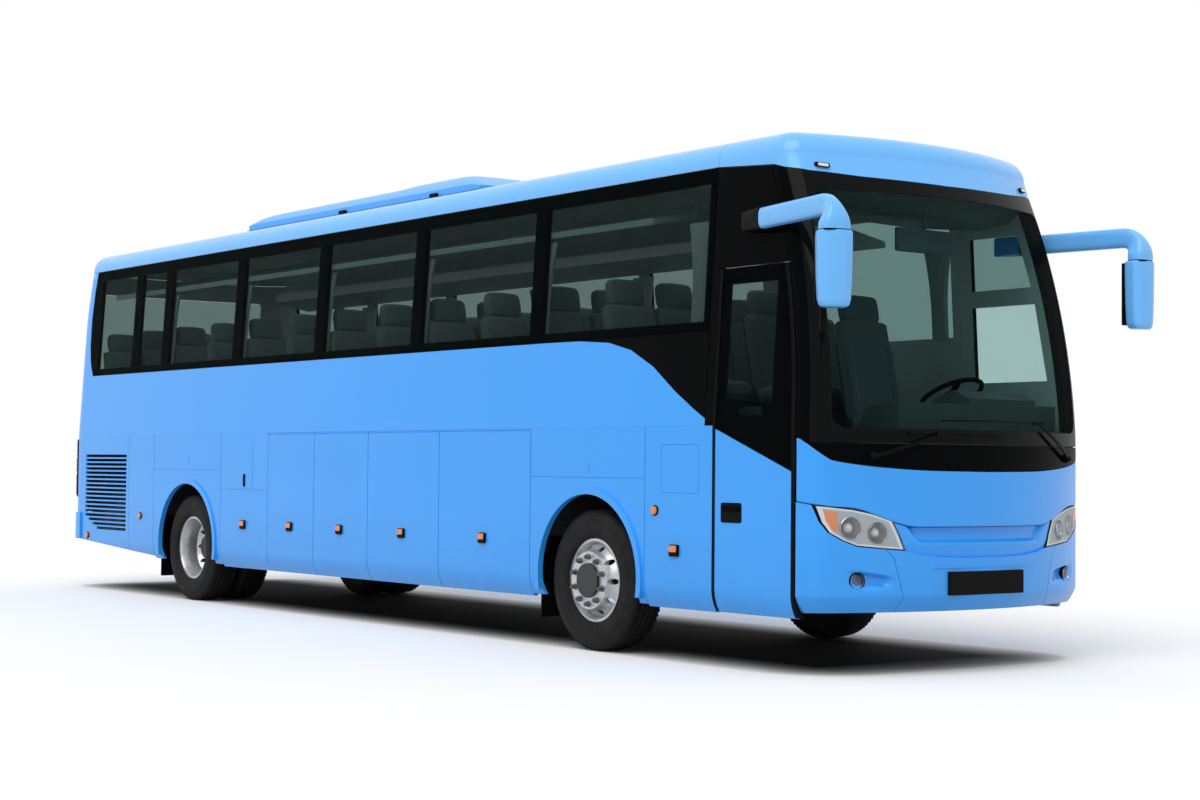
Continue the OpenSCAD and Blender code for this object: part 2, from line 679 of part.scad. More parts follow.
// Oval outline with a width and a height, and a rectangle with rounded corners
module oval(w, h) {
  square([w, h - w], center = true);
  for (m = [-1, 1]) translate([0, m * (h - w) / 2]) circle(w / 2);
}
module rounded(w, h, r) {
  square([w, h - 2 * r], center = true);
  square([w - 2 * r, h], center = true);
  for (i = [-1, 1], j = [-1, 1]) translate([i * (w / 2 - r), j * (h / 2 - r)]) circle(r);
}

module mirror_unit(s) {
  color("DeepSkyBlue") on_side(s) {
    mirror_arm();
    difference() {
      block([mirror_base_x - 130, half_w(mirror_z) - 40, mirror_z - 70],
        [mirror_base_x + 90, half_w(mirror_z) + 70, mirror_z + 70]);
      side_plate(mirror_base_x - 200, mirror_base_x + 200, mirror_z - 100, mirror_z + 100, -seat_gap, 120);
    }
  }
}
module mirror_right() mirror_unit(-1);
module mirror_left() mirror_unit(1);

// Room of the rear window, drawn in by d
module rear_pane(d) {
  y = half - 315 - d;
  block([x_rear - 50, -y, sill_z + 15 + d], [x_rear + 400, y, gutter_z - 200 - d]);
}

module rear_panel() {
  color("DeepSkyBlue") difference() {
    skin(-1, rear_us, function(u) engine_low - 20, function(u) gutter_z - 0.8, 6, 0, -panel_t);
    block([x_rear - 50, -engine_half, 0], [x_rear + 300, engine_half, engine_top]);
    rear_pane(0);
  }
}

module rear_window() {
  color("DarkSlateGray", 0.6) intersection() {
    skin(-1, both(spread(0, 1.2, 5)), function(u) sill_z - 25,
      function(u) gutter_z - 150, 3, 0, -glass_t - 4);
    rear_pane(0.5);
  }
}

// Engine door with a short hinge bead at the middle of its upper edge
engine_axis_x = x_rear + bumper_out + bead_r + 4;
engine_axis_z = engine_top - bead_r - seat_gap;
module engine_door() {
  color("DeepSkyBlue") {
    difference() {
      skin(-1, both(spread(0, 0.96, 4)), function(u) engine_low,
        function(u) engine_axis_z - 2 * bead_r, 1, 0, -panel_t);
      for (m = [0, 1]) mirror([0, m, 0])
        block([x_rear - 50, engine_half - door_gap, 0], [x_rear + 400, half + 100, engine_top]);
      for (i = [0:11])
        block([x_rear - 50, -600, 1080 + i * 44], [x_rear + 200, 600, 1104 + i * 44]);
    }
    rod_y(engine_axis_x, engine_axis_z, bead_r, -250, 250);
    block([engine_axis_x, -250, engine_axis_z - 2 * bead_r - 4],
      [engine_axis_x + bead_r, 250, engine_axis_z]);
  }
}

module rear_bumper() {
  color("DeepSkyBlue") skin(-1, rear_us, function(u) tail_low,
    function(u) engine_low - 20.8, 2, bumper_out, -panel_t);
}

// Air conditioner on the roof: a long low pod, highest behind its sloping nose
module ac_unit() {
  f = axle_f - 1930;
  b = axle_f - 5870;
  w = half - 325;
  color("LightSkyBlue") difference() {
    intersection() {
      along_y(-w, w)
        polygon([[b, 3500], [f, 3500], [f, 3570], [f - 250, 3650], [f - 600, 3735], [f - 900, 3748],
          [f - 1250, 3740], [f - 1500, 3700], [b + 300, 3690], [b + 80, 3645], [b, 3590]]);
      along_x(b - 10, f + 10)
        polygon([[-w, 3490], [w, 3490], [w, 3585], [w - 110, 3660], [w - 260, 3720], [w - 420, 3750],
          [420 - w, 3750], [260 - w, 3720], [110 - w, 3660], [-w, 3585]]);
    }
    along_x(b - 50, f + 50) polygon(roof_line(seat_gap));
  }
}

// Floor of the cabin: deck, driver's floor, risers, steps at the door and rails that carry the side walls
module passenger_floor() {
  x0 = x_rear + 120;
  x1 = arch_f1;
  x2 = x_front - 480;
  color("Gray") {
    block([x0 + 260, -deck_y, deck_z - 50], [x1, deck_y, deck_z]);
    for (s = [-1, 1]) on_side(s)
      side_plate(x0 + 330, x1, deck_z - 1, waist_z + 160, wall_t + seat_gap, 40);
    block([x1 - 1, -300, cab_z - 40], [x2, floor_y - 20, cab_z]);
    block([x1 - 20, -deck_y, cab_z - 40], [x1, deck_y, deck_z]);
    block([x1 - 1, -deck_y, cab_z - 40], [door_x0 - 10, -299, cab_z]);
    block([door_x0 - 40, 85 - half, step_z - 40], [door_x0 - 10, -280, cab_z]);
    block([door_x0 - 11, 85 - half, step_z - 40], [door_x1 - 10, -280, step_z]);
    block([door_x0 - 11, 375 - half, step_z - 1], [door_x1 - 10, -280, step_z + 220]);
    block([door_x0 - 11, 675 - half, step_z + 219], [door_x1 - 10, -280, step_z + 440]);
    block([door_x0 - 11, -300, step_z + 439], [door_x1 - 10, -280, cab_z]);
  }
}

// Luggage floor, bulkheads and the inner walls of the wheel housings
bulk_full = [arch_r1 - 15, bay_x0 - 37, arch_f0 + 3];
bulk_side = [[grille_x1 - 15, deck_z - 50], [arch_r0 - 15, deck_z - 50], [arch_f1 - 15, cab_z - 40]];
module underfloor() {
  low = hold_z - 30;
  color("SlateGray") {
    block([arch_r1, 60 - half, low], [arch_f0 + 10, half - 60, hold_z]);
    for (x = bulk_full) {
      block([x, -floor_y, 560], [x + 30, floor_y, deck_z - 50]);
      block([x, 60 - half, low], [x + 30, half - 60, 561]);
    }
    for (s = [-1, 1]) on_side(s) {
      for (b = bulk_side) block([b[0], 480, 560], [b[0] + 30, floor_y, b[1]]);
      block([arch_f0 + 10, 480, 760], [arch_f1 - 20, 500, deck_z - 50]);
      block([arch_f1 - 21, 480, 760], [arch_f1, 500, cab_z - 40]);
      block([arch_r0, 480, 760], [arch_r1, 500, deck_z - 50]);
    }
  }
}

// Frame: sills under the luggage floor, rails over the axles, cross members
module chassis_frame() {
  low = hold_z - 30;
  color("DimGray") {
    for (s = [-1, 1]) on_side(s) {
      block([arch_r1 - 300, 380, low - 80], [arch_f0 + 300, 460, low]);
      block([x_rear + 0.24 * rear_bay, 380, 860], [axle_r + 690, 460, 980]);
      block([axle_f - 660, 380, 860], [rail_end, 460, 980]);
      block([arch_r1 - 95, 380, low - 1], [arch_r1 - 20, 460, 981]);
      block([arch_f0 + 40, 380, low - 1], [arch_f0 + 115, 460, 981]);
    }
    for (x = spread(arch_r1 + 100, arch_f0 - 160, 5))
      block([x, 100 - half, low - 60], [x + 60, half - 100, low]);
    for (x = [x_rear + 0.55 * rear_bay, axle_r - 690, axle_f + 560, rail_end - 90])
      block([x, -461, 880], [x + 70, 461, 960]);
  }
}

// Wheel turned about the Y axis at the origin, outer side towards +Y
module tyre(y) {
  w = tyre_w / 2;
  profile = [[rim_r, -104.5], [rim_r + 13, -111.8], [rim_r + 30, -w + 12], [rim_r + 90, -w],
    [tyre_r - 60, -w + 8], [tyre_r - 18, -w + 28], [tyre_r - 4, -w + 50], [tyre_r, 0]];
  n = len(profile) - 2;
  translate([0, y, 0]) rotate([-90, 0, 0]) rotate_extrude($fn = 128)
    polygon(concat(profile, [for (i = [n:-1:0]) [profile[i][0], -profile[i][1]]]));
}

// Rim with a disc that bulges towards d; the disc's face stands disc_out from the middle plane
disc_out = twin_pitch / 2;
disc_r = 206;
module rim(y, d) {
  in = rim_r - 16;
  translate([0, y, 0]) mirror([0, d < 0 ? 1 : 0, 0]) difference() {
    rotate([-90, 0, 0]) rotate_extrude($fn = 128) {
      polygon([[rim_r + 12, -112], [rim_r - 0.5, -105], [rim_r - 0.5, 105], [rim_r + 12, 112],
        [rim_r - 6, 114], [in, 90], [in - 16, 30], [in - 16, -30], [in, -90], [rim_r - 6, -114]]);
      polygon([[in - 2, 70], [disc_r + 20, 122], [disc_r, disc_out], [80, disc_out], [80, disc_out - 14],
        [disc_r - 8, disc_out - 14], [disc_r + 6, 112], [in - 6, 50]]);
    }
    for (i = [0:9]) rotate([0, i * 36, 0]) rod_y(disc_r + 24, 0, 21, 40, 160);
  }
}

// Ten wheel nuts on a face at y
module nuts(y, h) for (i = [0:9]) rotate([0, i * 36 + 18, 0]) rod_y(168, 0, 16, y - 1, y + h);

module front_rim(s) {
  face = front_track + disc_out;
  color("Silver") on_side(s) translate([axle_f, 0, axle_z]) difference() {
    union() {
      rim(front_track, 1);
      rod_y(0, 0, 120, front_track - 60, face - 2);
      rod_y(0, 0, 122, face - 3, face + 20);
      nuts(face, 30);
    }
    rod_y(0, 0, stub_r + run_gap, 0, front_track + 100);
  }
}
module front_tyre(s) color("DimGray") on_side(s) translate([axle_f, 0, axle_z]) tyre(front_track);

module rear_rims(s) {
  seat = rear_track - twin_pitch / 2;
  color("Silver") on_side(s) translate([axle_r, 0, axle_z]) difference() {
    union() {
      rim(rear_track, -1);
      rim(rear_track - twin_pitch, 1);
      rod_y(0, 0, 132, seat - 120, seat + 90);
      rod_y(0, 0, 105, seat + 80, seat + 150);
      nuts(seat + 14, 34);
    }
    rod_y(0, 0, stub_r + run_gap, 0, seat + 110);
  }
}
module rear_tyres(s) {
  color("DimGray") on_side(s) translate([axle_r, 0, axle_z]) {
    tyre(rear_track);
    tyre(rear_track - twin_pitch);
  }
}
module rim_front_right() front_rim(-1);
module rim_front_left() front_rim(1);
module rims_rear_right() rear_rims(-1);
module rims_rear_left() rear_rims(1);
module tyre_front_right() front_tyre(-1);
module tyre_front_left() front_tyre(1);
module tyres_rear_right() rear_tyres(-1);
module tyres_rear_left() rear_tyres(1);

// Steering: beam axle with an eye at each end, knuckles on kingpins, tie rod behind the axle
pin_r = 24;
eye_r = 48;
eye_h = 70;
steer_arm = 190;
module front_axle() {
  color("DimGray") translate([axle_f, 0, axle_z]) {
    difference() {
      union() {
        for (s = [-1, 1]) translate([0, s * kingpin_y, -eye_h]) cylinder(r = eye_r, h = 2 * eye_h);
        block([-45, -kingpin_y, -60], [45, kingpin_y, 40]);
        block([-70, -500, -60], [70, 500, 20]);
      }
      for (s = [-1, 1]) translate([0, s * kingpin_y, -200]) cylinder(r = pin_r + run_gap, h = 400);
    }
    for (s = [-1, 1]) translate([0, s * 330, 19]) cylinder(r = 110, h = 860 - axle_z - 19 - seat_gap);
  }
}

module knuckle(s) {
  color("DarkGray") on_side(s) translate([axle_f, kingpin_y, axle_z]) {
    translate([0, 0, -eye_h - 40]) cylinder(r = pin_r, h = 2 * eye_h + 80);
    for (m = [0, 1]) mirror([0, 0, m]) translate([0, 0, eye_h + 0.5]) {
      cylinder(r = eye_r, h = 36);
      block([-40, 0, 0], [40, 90, 36]);
    }
    block([-40, 60, -eye_h - 36.5], [40, 90, eye_h + 36.5]);
    rod_y(0, 0, stub_r, 80, front_track - kingpin_y + 55);
    rod_y(0, 0, 70, 85, 105);
    block([-steer_arm, -28, -eye_h - 36.5], [0, 28, -eye_h - 1]);
    translate([-steer_arm, 0, -eye_h - 36.5]) cylinder(r = 28, h = 35.5);
    translate([-steer_arm, 0, -eye_h - 90]) cylinder(r = 14, h = 80);
  }
}
module knuckle_right() knuckle(-1);
module knuckle_left() knuckle(1);

module tie_rod() {
  z = axle_z - eye_h - 37;
  color("DarkGray") difference() {
    union() {
      block([axle_f - steer_arm - 18, -kingpin_y, z - 40], [axle_f - steer_arm + 18, kingpin_y, z - 6]);
      for (s = [-1, 1]) translate([axle_f - steer_arm, s * kingpin_y, z - 44]) cylinder(r = 30, h = 44);
    }
    for (s = [-1, 1]) translate([axle_f - steer_arm, s * kingpin_y, z - 100])
      cylinder(r = 14 + run_gap, h = 200);
  }
}

// Rear axle with its drive shaft's stump towards the engine
module rear_axle() {
  seat = rear_track - twin_pitch / 2;
  shaft_l = 0.113 * rear_bay;
  color("DimGray") translate([axle_r, 0, axle_z]) {
    rod_y(0, 0, 85, 130 - seat, seat - 130);
    for (s = [-1, 1]) on_side(s) rod_y(0, 0, stub_r, seat - 140, seat + 105);
    rod_y(0, 0, 210, -150, 150);
    translate([-shaft_l, 0, 0]) rotate([0, 90, 0]) cylinder(r = 70, h = shaft_l);
    for (s = [-1, 1]) translate([0, s * 335, 60]) cylinder(r = 120, h = 860 - axle_z - 60 - seat_gap);
  }
}

// Engine and gearbox, which share the length behind the rear axle, with a mount between the rails
engine_x0 = x_rear + 0.144 * rear_bay;
engine_x1 = x_rear + 0.521 * rear_bay;
gearbox_x1 = x_rear + 0.703 * rear_bay;
module engine_block() {
  mid = (engine_x0 + engine_x1) / 2;
  color("Gray") {
    block([engine_x0, -360, 560], [engine_x1, 360, 1330]);
    block([mid - 50, seat_gap - 380, 881], [mid + 50, 380 - seat_gap, 979]);
    block([engine_x1 - 1, -200, 480], [gearbox_x1, 200, 860]);
  }
}

module mud_flaps() {
  color("Black") for (s = [-1, 1]) on_side(s) {
    block([arch_f0 + 33 + seat_gap, half - 345, 200], [arch_f0 + 45, half - 85, 800]);
    block([arch_r0 + 15 + seat_gap, half - 655, 200], [arch_r0 + 27, half - 85, 800]);
  }
}

// One seat from the side as X from the seat's back edge and Z from the floor
seat_line = [[-30, 360], [460, 385], [485, 440], [440, 490], [50, 465], [-95, 1120], [-130, 1230],
  [-215, 1230], [-205, 1090], [-85, 400]];
module one_seat(w, taller = 0)
  along_y(-w / 2, w / 2)
    polygon([for (p = seat_line) p[1] > 1000 ? [p[0] - 0.2 * taller, p[1] + taller] : p]);

// Inner face of the wall beside a headrest, less the gap that the seats keep to it
seat_side = half_w(deck_z + 1230) - wall_t - 29;
pair_y = seat_side - seat_w - 8;
bench_pitch = 2 * seat_side / 5;
bench_w = bench_pitch - 15;
module seat_pair(x, y) {
  translate([x, y, deck_z]) {
    for (j = [-1, 1]) translate([0, j * (seat_w / 2 + 8), 0]) one_seat(seat_w);
    block([60, -seat_w, 0], [380, seat_w, 60]);
    block([120, -60, 59], [320, 60, 380]);
  }
}
driver_lift = 120;
row_x = arch_f1 - 560;
bench_x = row_x - seat_rows * seat_pitch - 60;
module seats() {
  color("MidnightBlue") {
    for (i = [0:seat_rows - 1], s = [-1, 1]) seat_pair(row_x - i * seat_pitch, s * pair_y);
    for (i = [-2:2]) translate([bench_x, i * bench_pitch, deck_z]) {
      one_seat(bench_w);
      block([60, -180, 0], [380, 180, 380]);
    }
    translate([axle_f + 960, wheel_at[1], cab_z + driver_lift]) {
      one_seat(500, 150);
      block([60, -180, -driver_lift], [380, 180, 400]);
    }
  }
}

// Dashboard with the driver's binnacle and a shelf under the screen, narrower over the entry steps
module dashboard() {
  x = axle_f;
  color("DimGray") difference() {
    union() {
      along_y(-420, half - 155)
        polygon([[x + 1880, cab_z], [x + 2150, cab_z], [x + 2240, 1500], [x + 2240, 1760], [x + 1950, 1740],
          [x + 1840, 1560]]);
      along_y(wheel_at[1] - 330, wheel_at[1] + 330)
        polygon([[x + 1830, 1620], [x + 2200, 1700], [x + 2200, 1800], [x + 2050, 1860], [x + 1860, 1800]]);
      skin(1, spread(-0.4, 1, 8), function(u) 1380, function(u) 1440, 1, -panel_t - 2, -480);
      skin(1, spread(-1, -0.3, 4), function(u) 1380, function(u) 1440, 1, -panel_t - 2, -330);
    }
    translate(wheel_at) rotate([0, wheel_tilt - 90, 0]) translate([0, 0, -400])
      cylinder(r = column_r + seat_gap, h = 400);
  }
}

// Steering wheel on a leaning column, turned about the column's axis
wheel_tilt = 62;
column_r = 22;
wheel_at = [axle_f + 1720, half - 645, 1840];
module steering_wheel() {
  color("Black") translate(wheel_at) rotate([0, wheel_tilt - 90, 0]) {
    rotate_extrude($fn = 96) translate([225, 0]) circle(17, $fn = 32);
    cylinder(r = 60, h = 30, center = true);
    for (i = [0:2]) rotate([0, 0, 90 + i * 120]) block([40, -22, -9], [222, 22, 9]);
    translate([0, 0, -300]) cylinder(r = column_r, h = 290);
  }
}

// Racks over the seats, carried by the side walls
rack_z = gutter_z - 320;
rack_depth = 412;
module luggage_racks() {
  o = wall_t + seat_gap;
  lip = half_w(rack_z + 50) - o - rack_depth;
  color("DarkGray") for (s = [-1, 1]) on_side(s) along_x(x_rear + 900, arch_f1 - 100)
    polygon([[half_w(rack_z) - o, rack_z], [half_w(rack_z + 50) - o, rack_z + 50], [lip + 45, rack_z + 120],
      [lip + 20, rack_z + 180], [lip, rack_z + 170], [lip + 10, rack_z + 80]]);
}

// Gathered curtains beside each window post
module curtains() {
  xs = concat([pane_at(0) - 190], [for (i = [1:5]) pane_at(i)]);
  color("LightGray") for (s = [-1, 1], x = xs) on_side(s)
    side_plate(x - 110, x + 110, sill_z + 60, rack_z - 20, wall_t + seat_gap, 24);
}

// Entry door: blue lower panel, upper frame behind the glass, two pin lugs inside
door_z = [700, 1300];
module door_outline(d) {
  top = door_top - door_gap - d;
  zs = concat([door_low, screen_z], spread(1700, top, 3));
  polygon(concat(
    [for (z = zs) [jamb_x(z) - door_gap - d, z]],
    [[door_x0 + d, top], [door_x0 + d, door_low]]
  ));
}
module door_upper(d) {
  polygon([[door_x0 - 50, 1580 + d], [door_x0, 1580 + d], [door_x1, 1278 + d], [door_x1 + 50, 1278 + d],
    [door_x1 + 50, 2800], [door_x0 - 50, 2800]]);
}
module door_leaf() {
  frame_out = glass_t + seat_gap;
  a = pillar_x - arm_len;
  color("DeepSkyBlue") on_side(-1) {
    difference() {
      side_piece(door_x0, x_front, door_low, door_top, 0, wall_t - 5) door_outline(0);
      side_piece(door_x0 - 10, x_front, 1200, door_top, -20, 20 + frame_out) door_upper(0);
      block([door_x0 + 80, half - 300, 1650], [door_x0 + 560, half + 50, 2530]);
    }
    for (z = door_z) {
      block([a - 30, pillar_y - 20, z - 40], [a + 30, half - wall_t + 10, z]);
      translate([a, pillar_y, z - 20]) cylinder(r = 14, h = 60);
    }
  }
}
module door_glass() {
  color("DarkSlateGray", 0.6) on_side(-1) intersection() {
    side_piece(door_x0, x_front, 1200, door_top, 0, glass_t) door_outline(3);
    along_y(half - 400, half + 100) door_upper(3);
  }
}

// Two swing arms on one upright pillar
module door_arm() {
  color("DarkGray") on_side(-1) translate([pillar_x, pillar_y, 0]) {
    translate([0, 0, step_z + seat_gap]) cylinder(r = 26, h = 1000);
    for (z = door_z) difference() {
      union() {
        block([-arm_len, -20, z + seat_gap], [0, 20, z + 32]);
        translate([-arm_len, 0, z + seat_gap]) cylinder(r = 28, h = 32 - seat_gap);
      }
      translate([-arm_len, 0, z - 50]) cylinder(r = 14 + run_gap, h = 150);
    }
  }
}

chassis_frame();
underfloor();
passenger_floor();
roof_panel();
roof_front_cap();
roof_rear_cap();
side_wall_right();
side_wall_left();
side_glass_right();
side_glass_left();
skirt_right();
skirt_left();
front_panel();
front_bumper();
screen_base();
windscreen();
front_pillars();
lamps();
markers();
wipers();
mirror_right();
mirror_left();
rear_panel();
rear_window();
rear_bumper();
engine_door();
ac_unit();
dashboard();
seats();
luggage_racks();
curtains();
steering_wheel();
engine_block();
front_axle();
rear_axle();
mud_flaps();
knuckle_right();
knuckle_left();
tie_rod();
rim_front_right();
rim_front_left();
rims_rear_right();
rims_rear_left();
tyre_front_right();
tyre_front_left();
tyres_rear_right();
tyres_rear_left();
door_arm();
door_leaf();
door_glass();
bay_door_right_1();
bay_door_right_2();
bay_door_right_3();
bay_door_right_4();
bay_door_left_1();
bay_door_left_2();
bay_door_left_3();
bay_door_left_4();
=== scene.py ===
"""Dresses a twelve-metre touring coach: paint, glass, lamps, wheels, cabin and studio."""

import bisect
import json
import logging
import math
from dataclasses import dataclass, field
from enum import Enum
from typing import Callable, Iterable, Sequence

import bmesh
import bpy
from mathutils import Matrix, Vector
from mathutils.geometry import delaunay_2d_cdt

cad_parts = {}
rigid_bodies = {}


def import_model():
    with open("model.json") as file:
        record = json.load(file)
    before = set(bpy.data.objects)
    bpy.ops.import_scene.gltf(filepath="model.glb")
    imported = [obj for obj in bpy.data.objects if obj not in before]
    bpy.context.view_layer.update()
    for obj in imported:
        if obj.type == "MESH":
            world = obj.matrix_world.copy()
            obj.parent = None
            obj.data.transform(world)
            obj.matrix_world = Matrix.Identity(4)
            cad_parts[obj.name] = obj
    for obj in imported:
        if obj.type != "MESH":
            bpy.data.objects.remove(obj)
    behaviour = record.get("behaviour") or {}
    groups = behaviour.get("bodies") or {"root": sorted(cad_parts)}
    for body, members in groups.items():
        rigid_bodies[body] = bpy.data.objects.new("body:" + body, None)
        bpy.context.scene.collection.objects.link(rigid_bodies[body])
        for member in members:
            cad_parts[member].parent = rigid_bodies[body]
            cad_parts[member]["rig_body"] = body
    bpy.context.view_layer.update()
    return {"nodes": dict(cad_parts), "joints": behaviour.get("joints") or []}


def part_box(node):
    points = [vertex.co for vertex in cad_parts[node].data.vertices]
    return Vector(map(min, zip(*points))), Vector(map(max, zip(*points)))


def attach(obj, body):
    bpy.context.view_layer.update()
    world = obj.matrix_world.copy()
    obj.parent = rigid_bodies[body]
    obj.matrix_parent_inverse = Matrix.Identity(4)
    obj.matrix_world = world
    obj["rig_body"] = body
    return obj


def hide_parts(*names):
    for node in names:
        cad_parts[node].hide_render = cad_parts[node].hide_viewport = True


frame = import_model()
LOG = logging.getLogger("coach")
BODY = "coach_body"

Colour = tuple[float, float, float]
Point2 = tuple[float, float]
Faces = list[list[int]]
Shape = tuple[list[Vector], Faces]
HeightOf = Callable[[float], float]


class Side(Enum):
    """The two long sides of the coach, with the sign of their Y."""

    RIGHT = -1
    LEFT = 1

    @property
    def word(self) -> str:
        """Gives the side's name as the nodes spell it."""
        return self.name.lower()


class End(Enum):
    """The two ends of the body, with the sign of their X."""

    REAR = -1
    FRONT = 1


def srgb(red: int, green: int, blue: int) -> Colour:
    """Turns an sRGB colour of 0 to 255 into linear light.

    Args:
        red: Red as it shows on a screen.
        green: Green as it shows on a screen.
        blue: Blue as it shows on a screen.

    Returns:
        The three linear values that shaders take.
    """
    shares = (red / 255, green / 255, blue / 255)
    return tuple(s / 12.92 if s <= 0.04045 else ((s + 0.055) / 1.055) ** 2.4 for s in shares)


def spread(start: float, stop: float, steps: int) -> list[float]:
    """Gives steps + 1 even values from start to stop."""
    return [start + (stop - start) * i / steps for i in range(steps + 1)]


def both(values: Sequence[float]) -> list[float]:
    """Mirrors a list that starts at 0 to the negative side as well."""
    return [-v for v in reversed(values[1:])] + list(values)


def smooth_at(table: Sequence[Point2], at: float) -> float:
    """Reads a smooth curve that runs through the points of a table without overshoot.

    Args:
        table: Pairs of place and value, in rising order of place.
        at: The place to read.

    Returns:
        The value there.
    """
    xs = [p[0] for p in table]
    ys = [p[1] for p in table]
    if at <= xs[0]:
        return ys[0]
    if at >= xs[-1]:
        return ys[-1]
    i = bisect.bisect_right(xs, at) - 1
    slopes = [(ys[j + 1] - ys[j]) / (xs[j + 1] - xs[j]) for j in range(len(xs) - 1)]

    def tangent(j: int) -> float:
        """Slope of the curve at a point of the table."""
        if j == 0 or j == len(slopes):
            return slopes[min(j, len(slopes) - 1)]
        a, b = slopes[j - 1], slopes[j]
        return 0.0 if a * b <= 0 else 2 * a * b / (a + b)

    width = xs[i + 1] - xs[i]
    t = (at - xs[i]) / width
    lift = (1 + 2 * t) * (1 - t) ** 2 * ys[i] + t * t * (3 - 2 * t) * ys[i + 1]
    return lift + width * (t * (1 - t) ** 2 * tangent(i) - t * t * (1 - t) * tangent(i + 1))


class NodeSketch:
    """Adds shader nodes to one material in few words."""

    def __init__(self, material: bpy.types.Material) -> None:
        """Empties the material's tree and keeps it."""
        material.use_nodes = True
        self.tree = material.node_tree
        self.tree.nodes.clear()
        self.output = self.tree.nodes.new("ShaderNodeOutputMaterial")
        self.place = self.add("ShaderNodeTexCoord").outputs["Object"]

    def add(self, kind: str, props: dict | None = None, **inputs) -> bpy.types.Node:
        """Adds a node and sets or links its inputs.

        Args:
            kind: The node's type name.
            props: Properties of the node itself.
            inputs: Sockets by name with _ for a space, or by place as i0, i1 and so on.

        Returns:
            The new node.
        """
        node = self.tree.nodes.new(kind)
        for key, value in (props or {}).items():
            setattr(node, key, value)
        for key, value in inputs.items():
            by_place = key[0] == "i" and key[1:].isdigit()
            socket = node.inputs[int(key[1:]) if by_place else key.replace("_", " ")]
            if isinstance(value, bpy.types.NodeSocket):
                self.tree.links.new(value, socket)
            else:
                socket.default_value = value
        return node

    def noise(self, scale: float, detail: float = 3.0, stretch: Colour = (1, 1, 1)) -> bpy.types.NodeSocket:
        """Noise of 0 to 1 in the piece's own place, stretched along an axis if wished."""
        mapped = self.add("ShaderNodeMapping", Vector=self.place, Scale=stretch)
        return self.add("ShaderNodeTexNoise", Vector=mapped.outputs[0], Scale=scale, Detail=detail).outputs[0]

    def part(self, axis: str) -> bpy.types.NodeSocket:
        """One axis of the piece's own place, in metres."""
        return self.add("ShaderNodeSeparateXYZ", Vector=self.place).outputs[axis]

    def remap(self, value: bpy.types.NodeSocket, a: float, b: float, c: float, d: float) -> bpy.types.NodeSocket:
        """Maps a to b onto c to d, held at both ends."""
        return self.add("ShaderNodeMapRange", i0=value, i1=a, i2=b, i3=c, i4=d).outputs[0]

    def math(self, kind: str, a: object, b: object = 0.0) -> bpy.types.NodeSocket:
        """One step of arithmetic on sockets or numbers."""
        return self.add("ShaderNodeMath", {"operation": kind}, i0=a, i1=b).outputs[0]

    def blend(self, share: object, low: object, high: object) -> bpy.types.NodeSocket:
        """Mixes two colours by a share of 0 to 1."""
        def full(c: object) -> object:
            """Gives a colour its alpha."""
            return (*c, 1.0) if isinstance(c, tuple) else c
        node = self.add("ShaderNodeMix", {"data_type": "RGBA"}, i0=share, i6=full(low), i7=full(high))
        return node.outputs[2]

    def bump(self, height: bpy.types.NodeSocket, strength: float, depth: float) -> bpy.types.NodeSocket:
        """Turns a height into a normal."""
        return self.add("ShaderNodeBump", Height=height, Strength=strength, Distance=depth).outputs[0]

    def shader(self, **inputs) -> bpy.types.NodeSocket:
        """Adds the main surface shader."""
        return self.add("ShaderNodeBsdfPrincipled", **inputs).outputs[0]

    def show(self, surface: bpy.types.NodeSocket) -> None:
        """Sends a shader to the output."""
        self.tree.links.new(surface, self.output.inputs["Surface"])


def shade(colour: Colour, times: float) -> Colour:
    """A colour made lighter or darker."""
    return tuple(min(1.0, c * times) for c in colour)


@dataclass(frozen=True)
class Finish:
    """A surface finish that makes its material once."""

    name: str
    colour: Colour
    rough: float = 0.5

    def material(self) -> bpy.types.Material:
        """Gives the material of this finish, made at first use."""
        found = bpy.data.materials.get(self.name)
        if found is None:
            found = bpy.data.materials.new(self.name)
            self.lay(NodeSketch(found))
        return found

    def lay(self, sketch: NodeSketch) -> None:
        """Lays out the nodes; each kind of finish has its own."""
        raise NotImplementedError


@dataclass(frozen=True)
class Paint(Finish):
    """Clear-coated body paint with faint tone changes, and painted shade that darkens it towards the ground, broken up
    by noise.
    """

    # Strength of the painted shade at the foot of the paint; 0 leaves none.
    film: float = 0.26

    def lay(self, sketch: NodeSketch) -> None:
        """Lays out the paint's nodes."""
        tone = sketch.blend(sketch.noise(0.9, 2.0), shade(self.colour, 0.975), shade(self.colour, 1.02))
        # Painted shade: the colour darkens from 0.95 m down to 0.32 m above the ground, broken up by noise.
        low = sketch.remap(sketch.part("Z"), 0.32, 0.95, self.film, 0.0)
        film = sketch.math("MULTIPLY", low, sketch.remap(sketch.noise(5.0, 5.0), 0.3, 0.7, 0.55, 1.0))
        colour = sketch.blend(film, tone, shade(self.colour, 0.45))
        rough = sketch.remap(sketch.noise(0.7, 0.0), 0.2, 0.8, self.rough * 0.95, self.rough * 1.05)
        sketch.show(sketch.shader(Base_Color=colour, Roughness=rough, Coat_Weight=0.4, Coat_Roughness=0.05,
                                  Specular_IOR_Level=0.25))


@dataclass(frozen=True)
class Moulding(Finish):
    """Moulded plastic or painted trim with a fine grain."""

    grain: float = 260.0
    depth: float = 0.0006
    shine: float = 0.4

    def lay(self, sketch: NodeSketch) -> None:
        """Lays out the plastic's nodes."""
        cells = sketch.add("ShaderNodeTexVoronoi", Vector=sketch.place, Scale=self.grain).outputs["Distance"]
        tone = sketch.blend(sketch.noise(6.0, 4.0), shade(self.colour, 0.85), shade(self.colour, 1.15))
        rough = sketch.remap(sketch.noise(9.0, 4.0), 0.3, 0.7, self.rough * 0.85, min(1.0, self.rough * 1.2))
        sketch.show(sketch.shader(Base_Color=tone, Roughness=rough, Specular_IOR_Level=self.shine,
                                  Normal=sketch.bump(cells, 0.10, self.depth)))


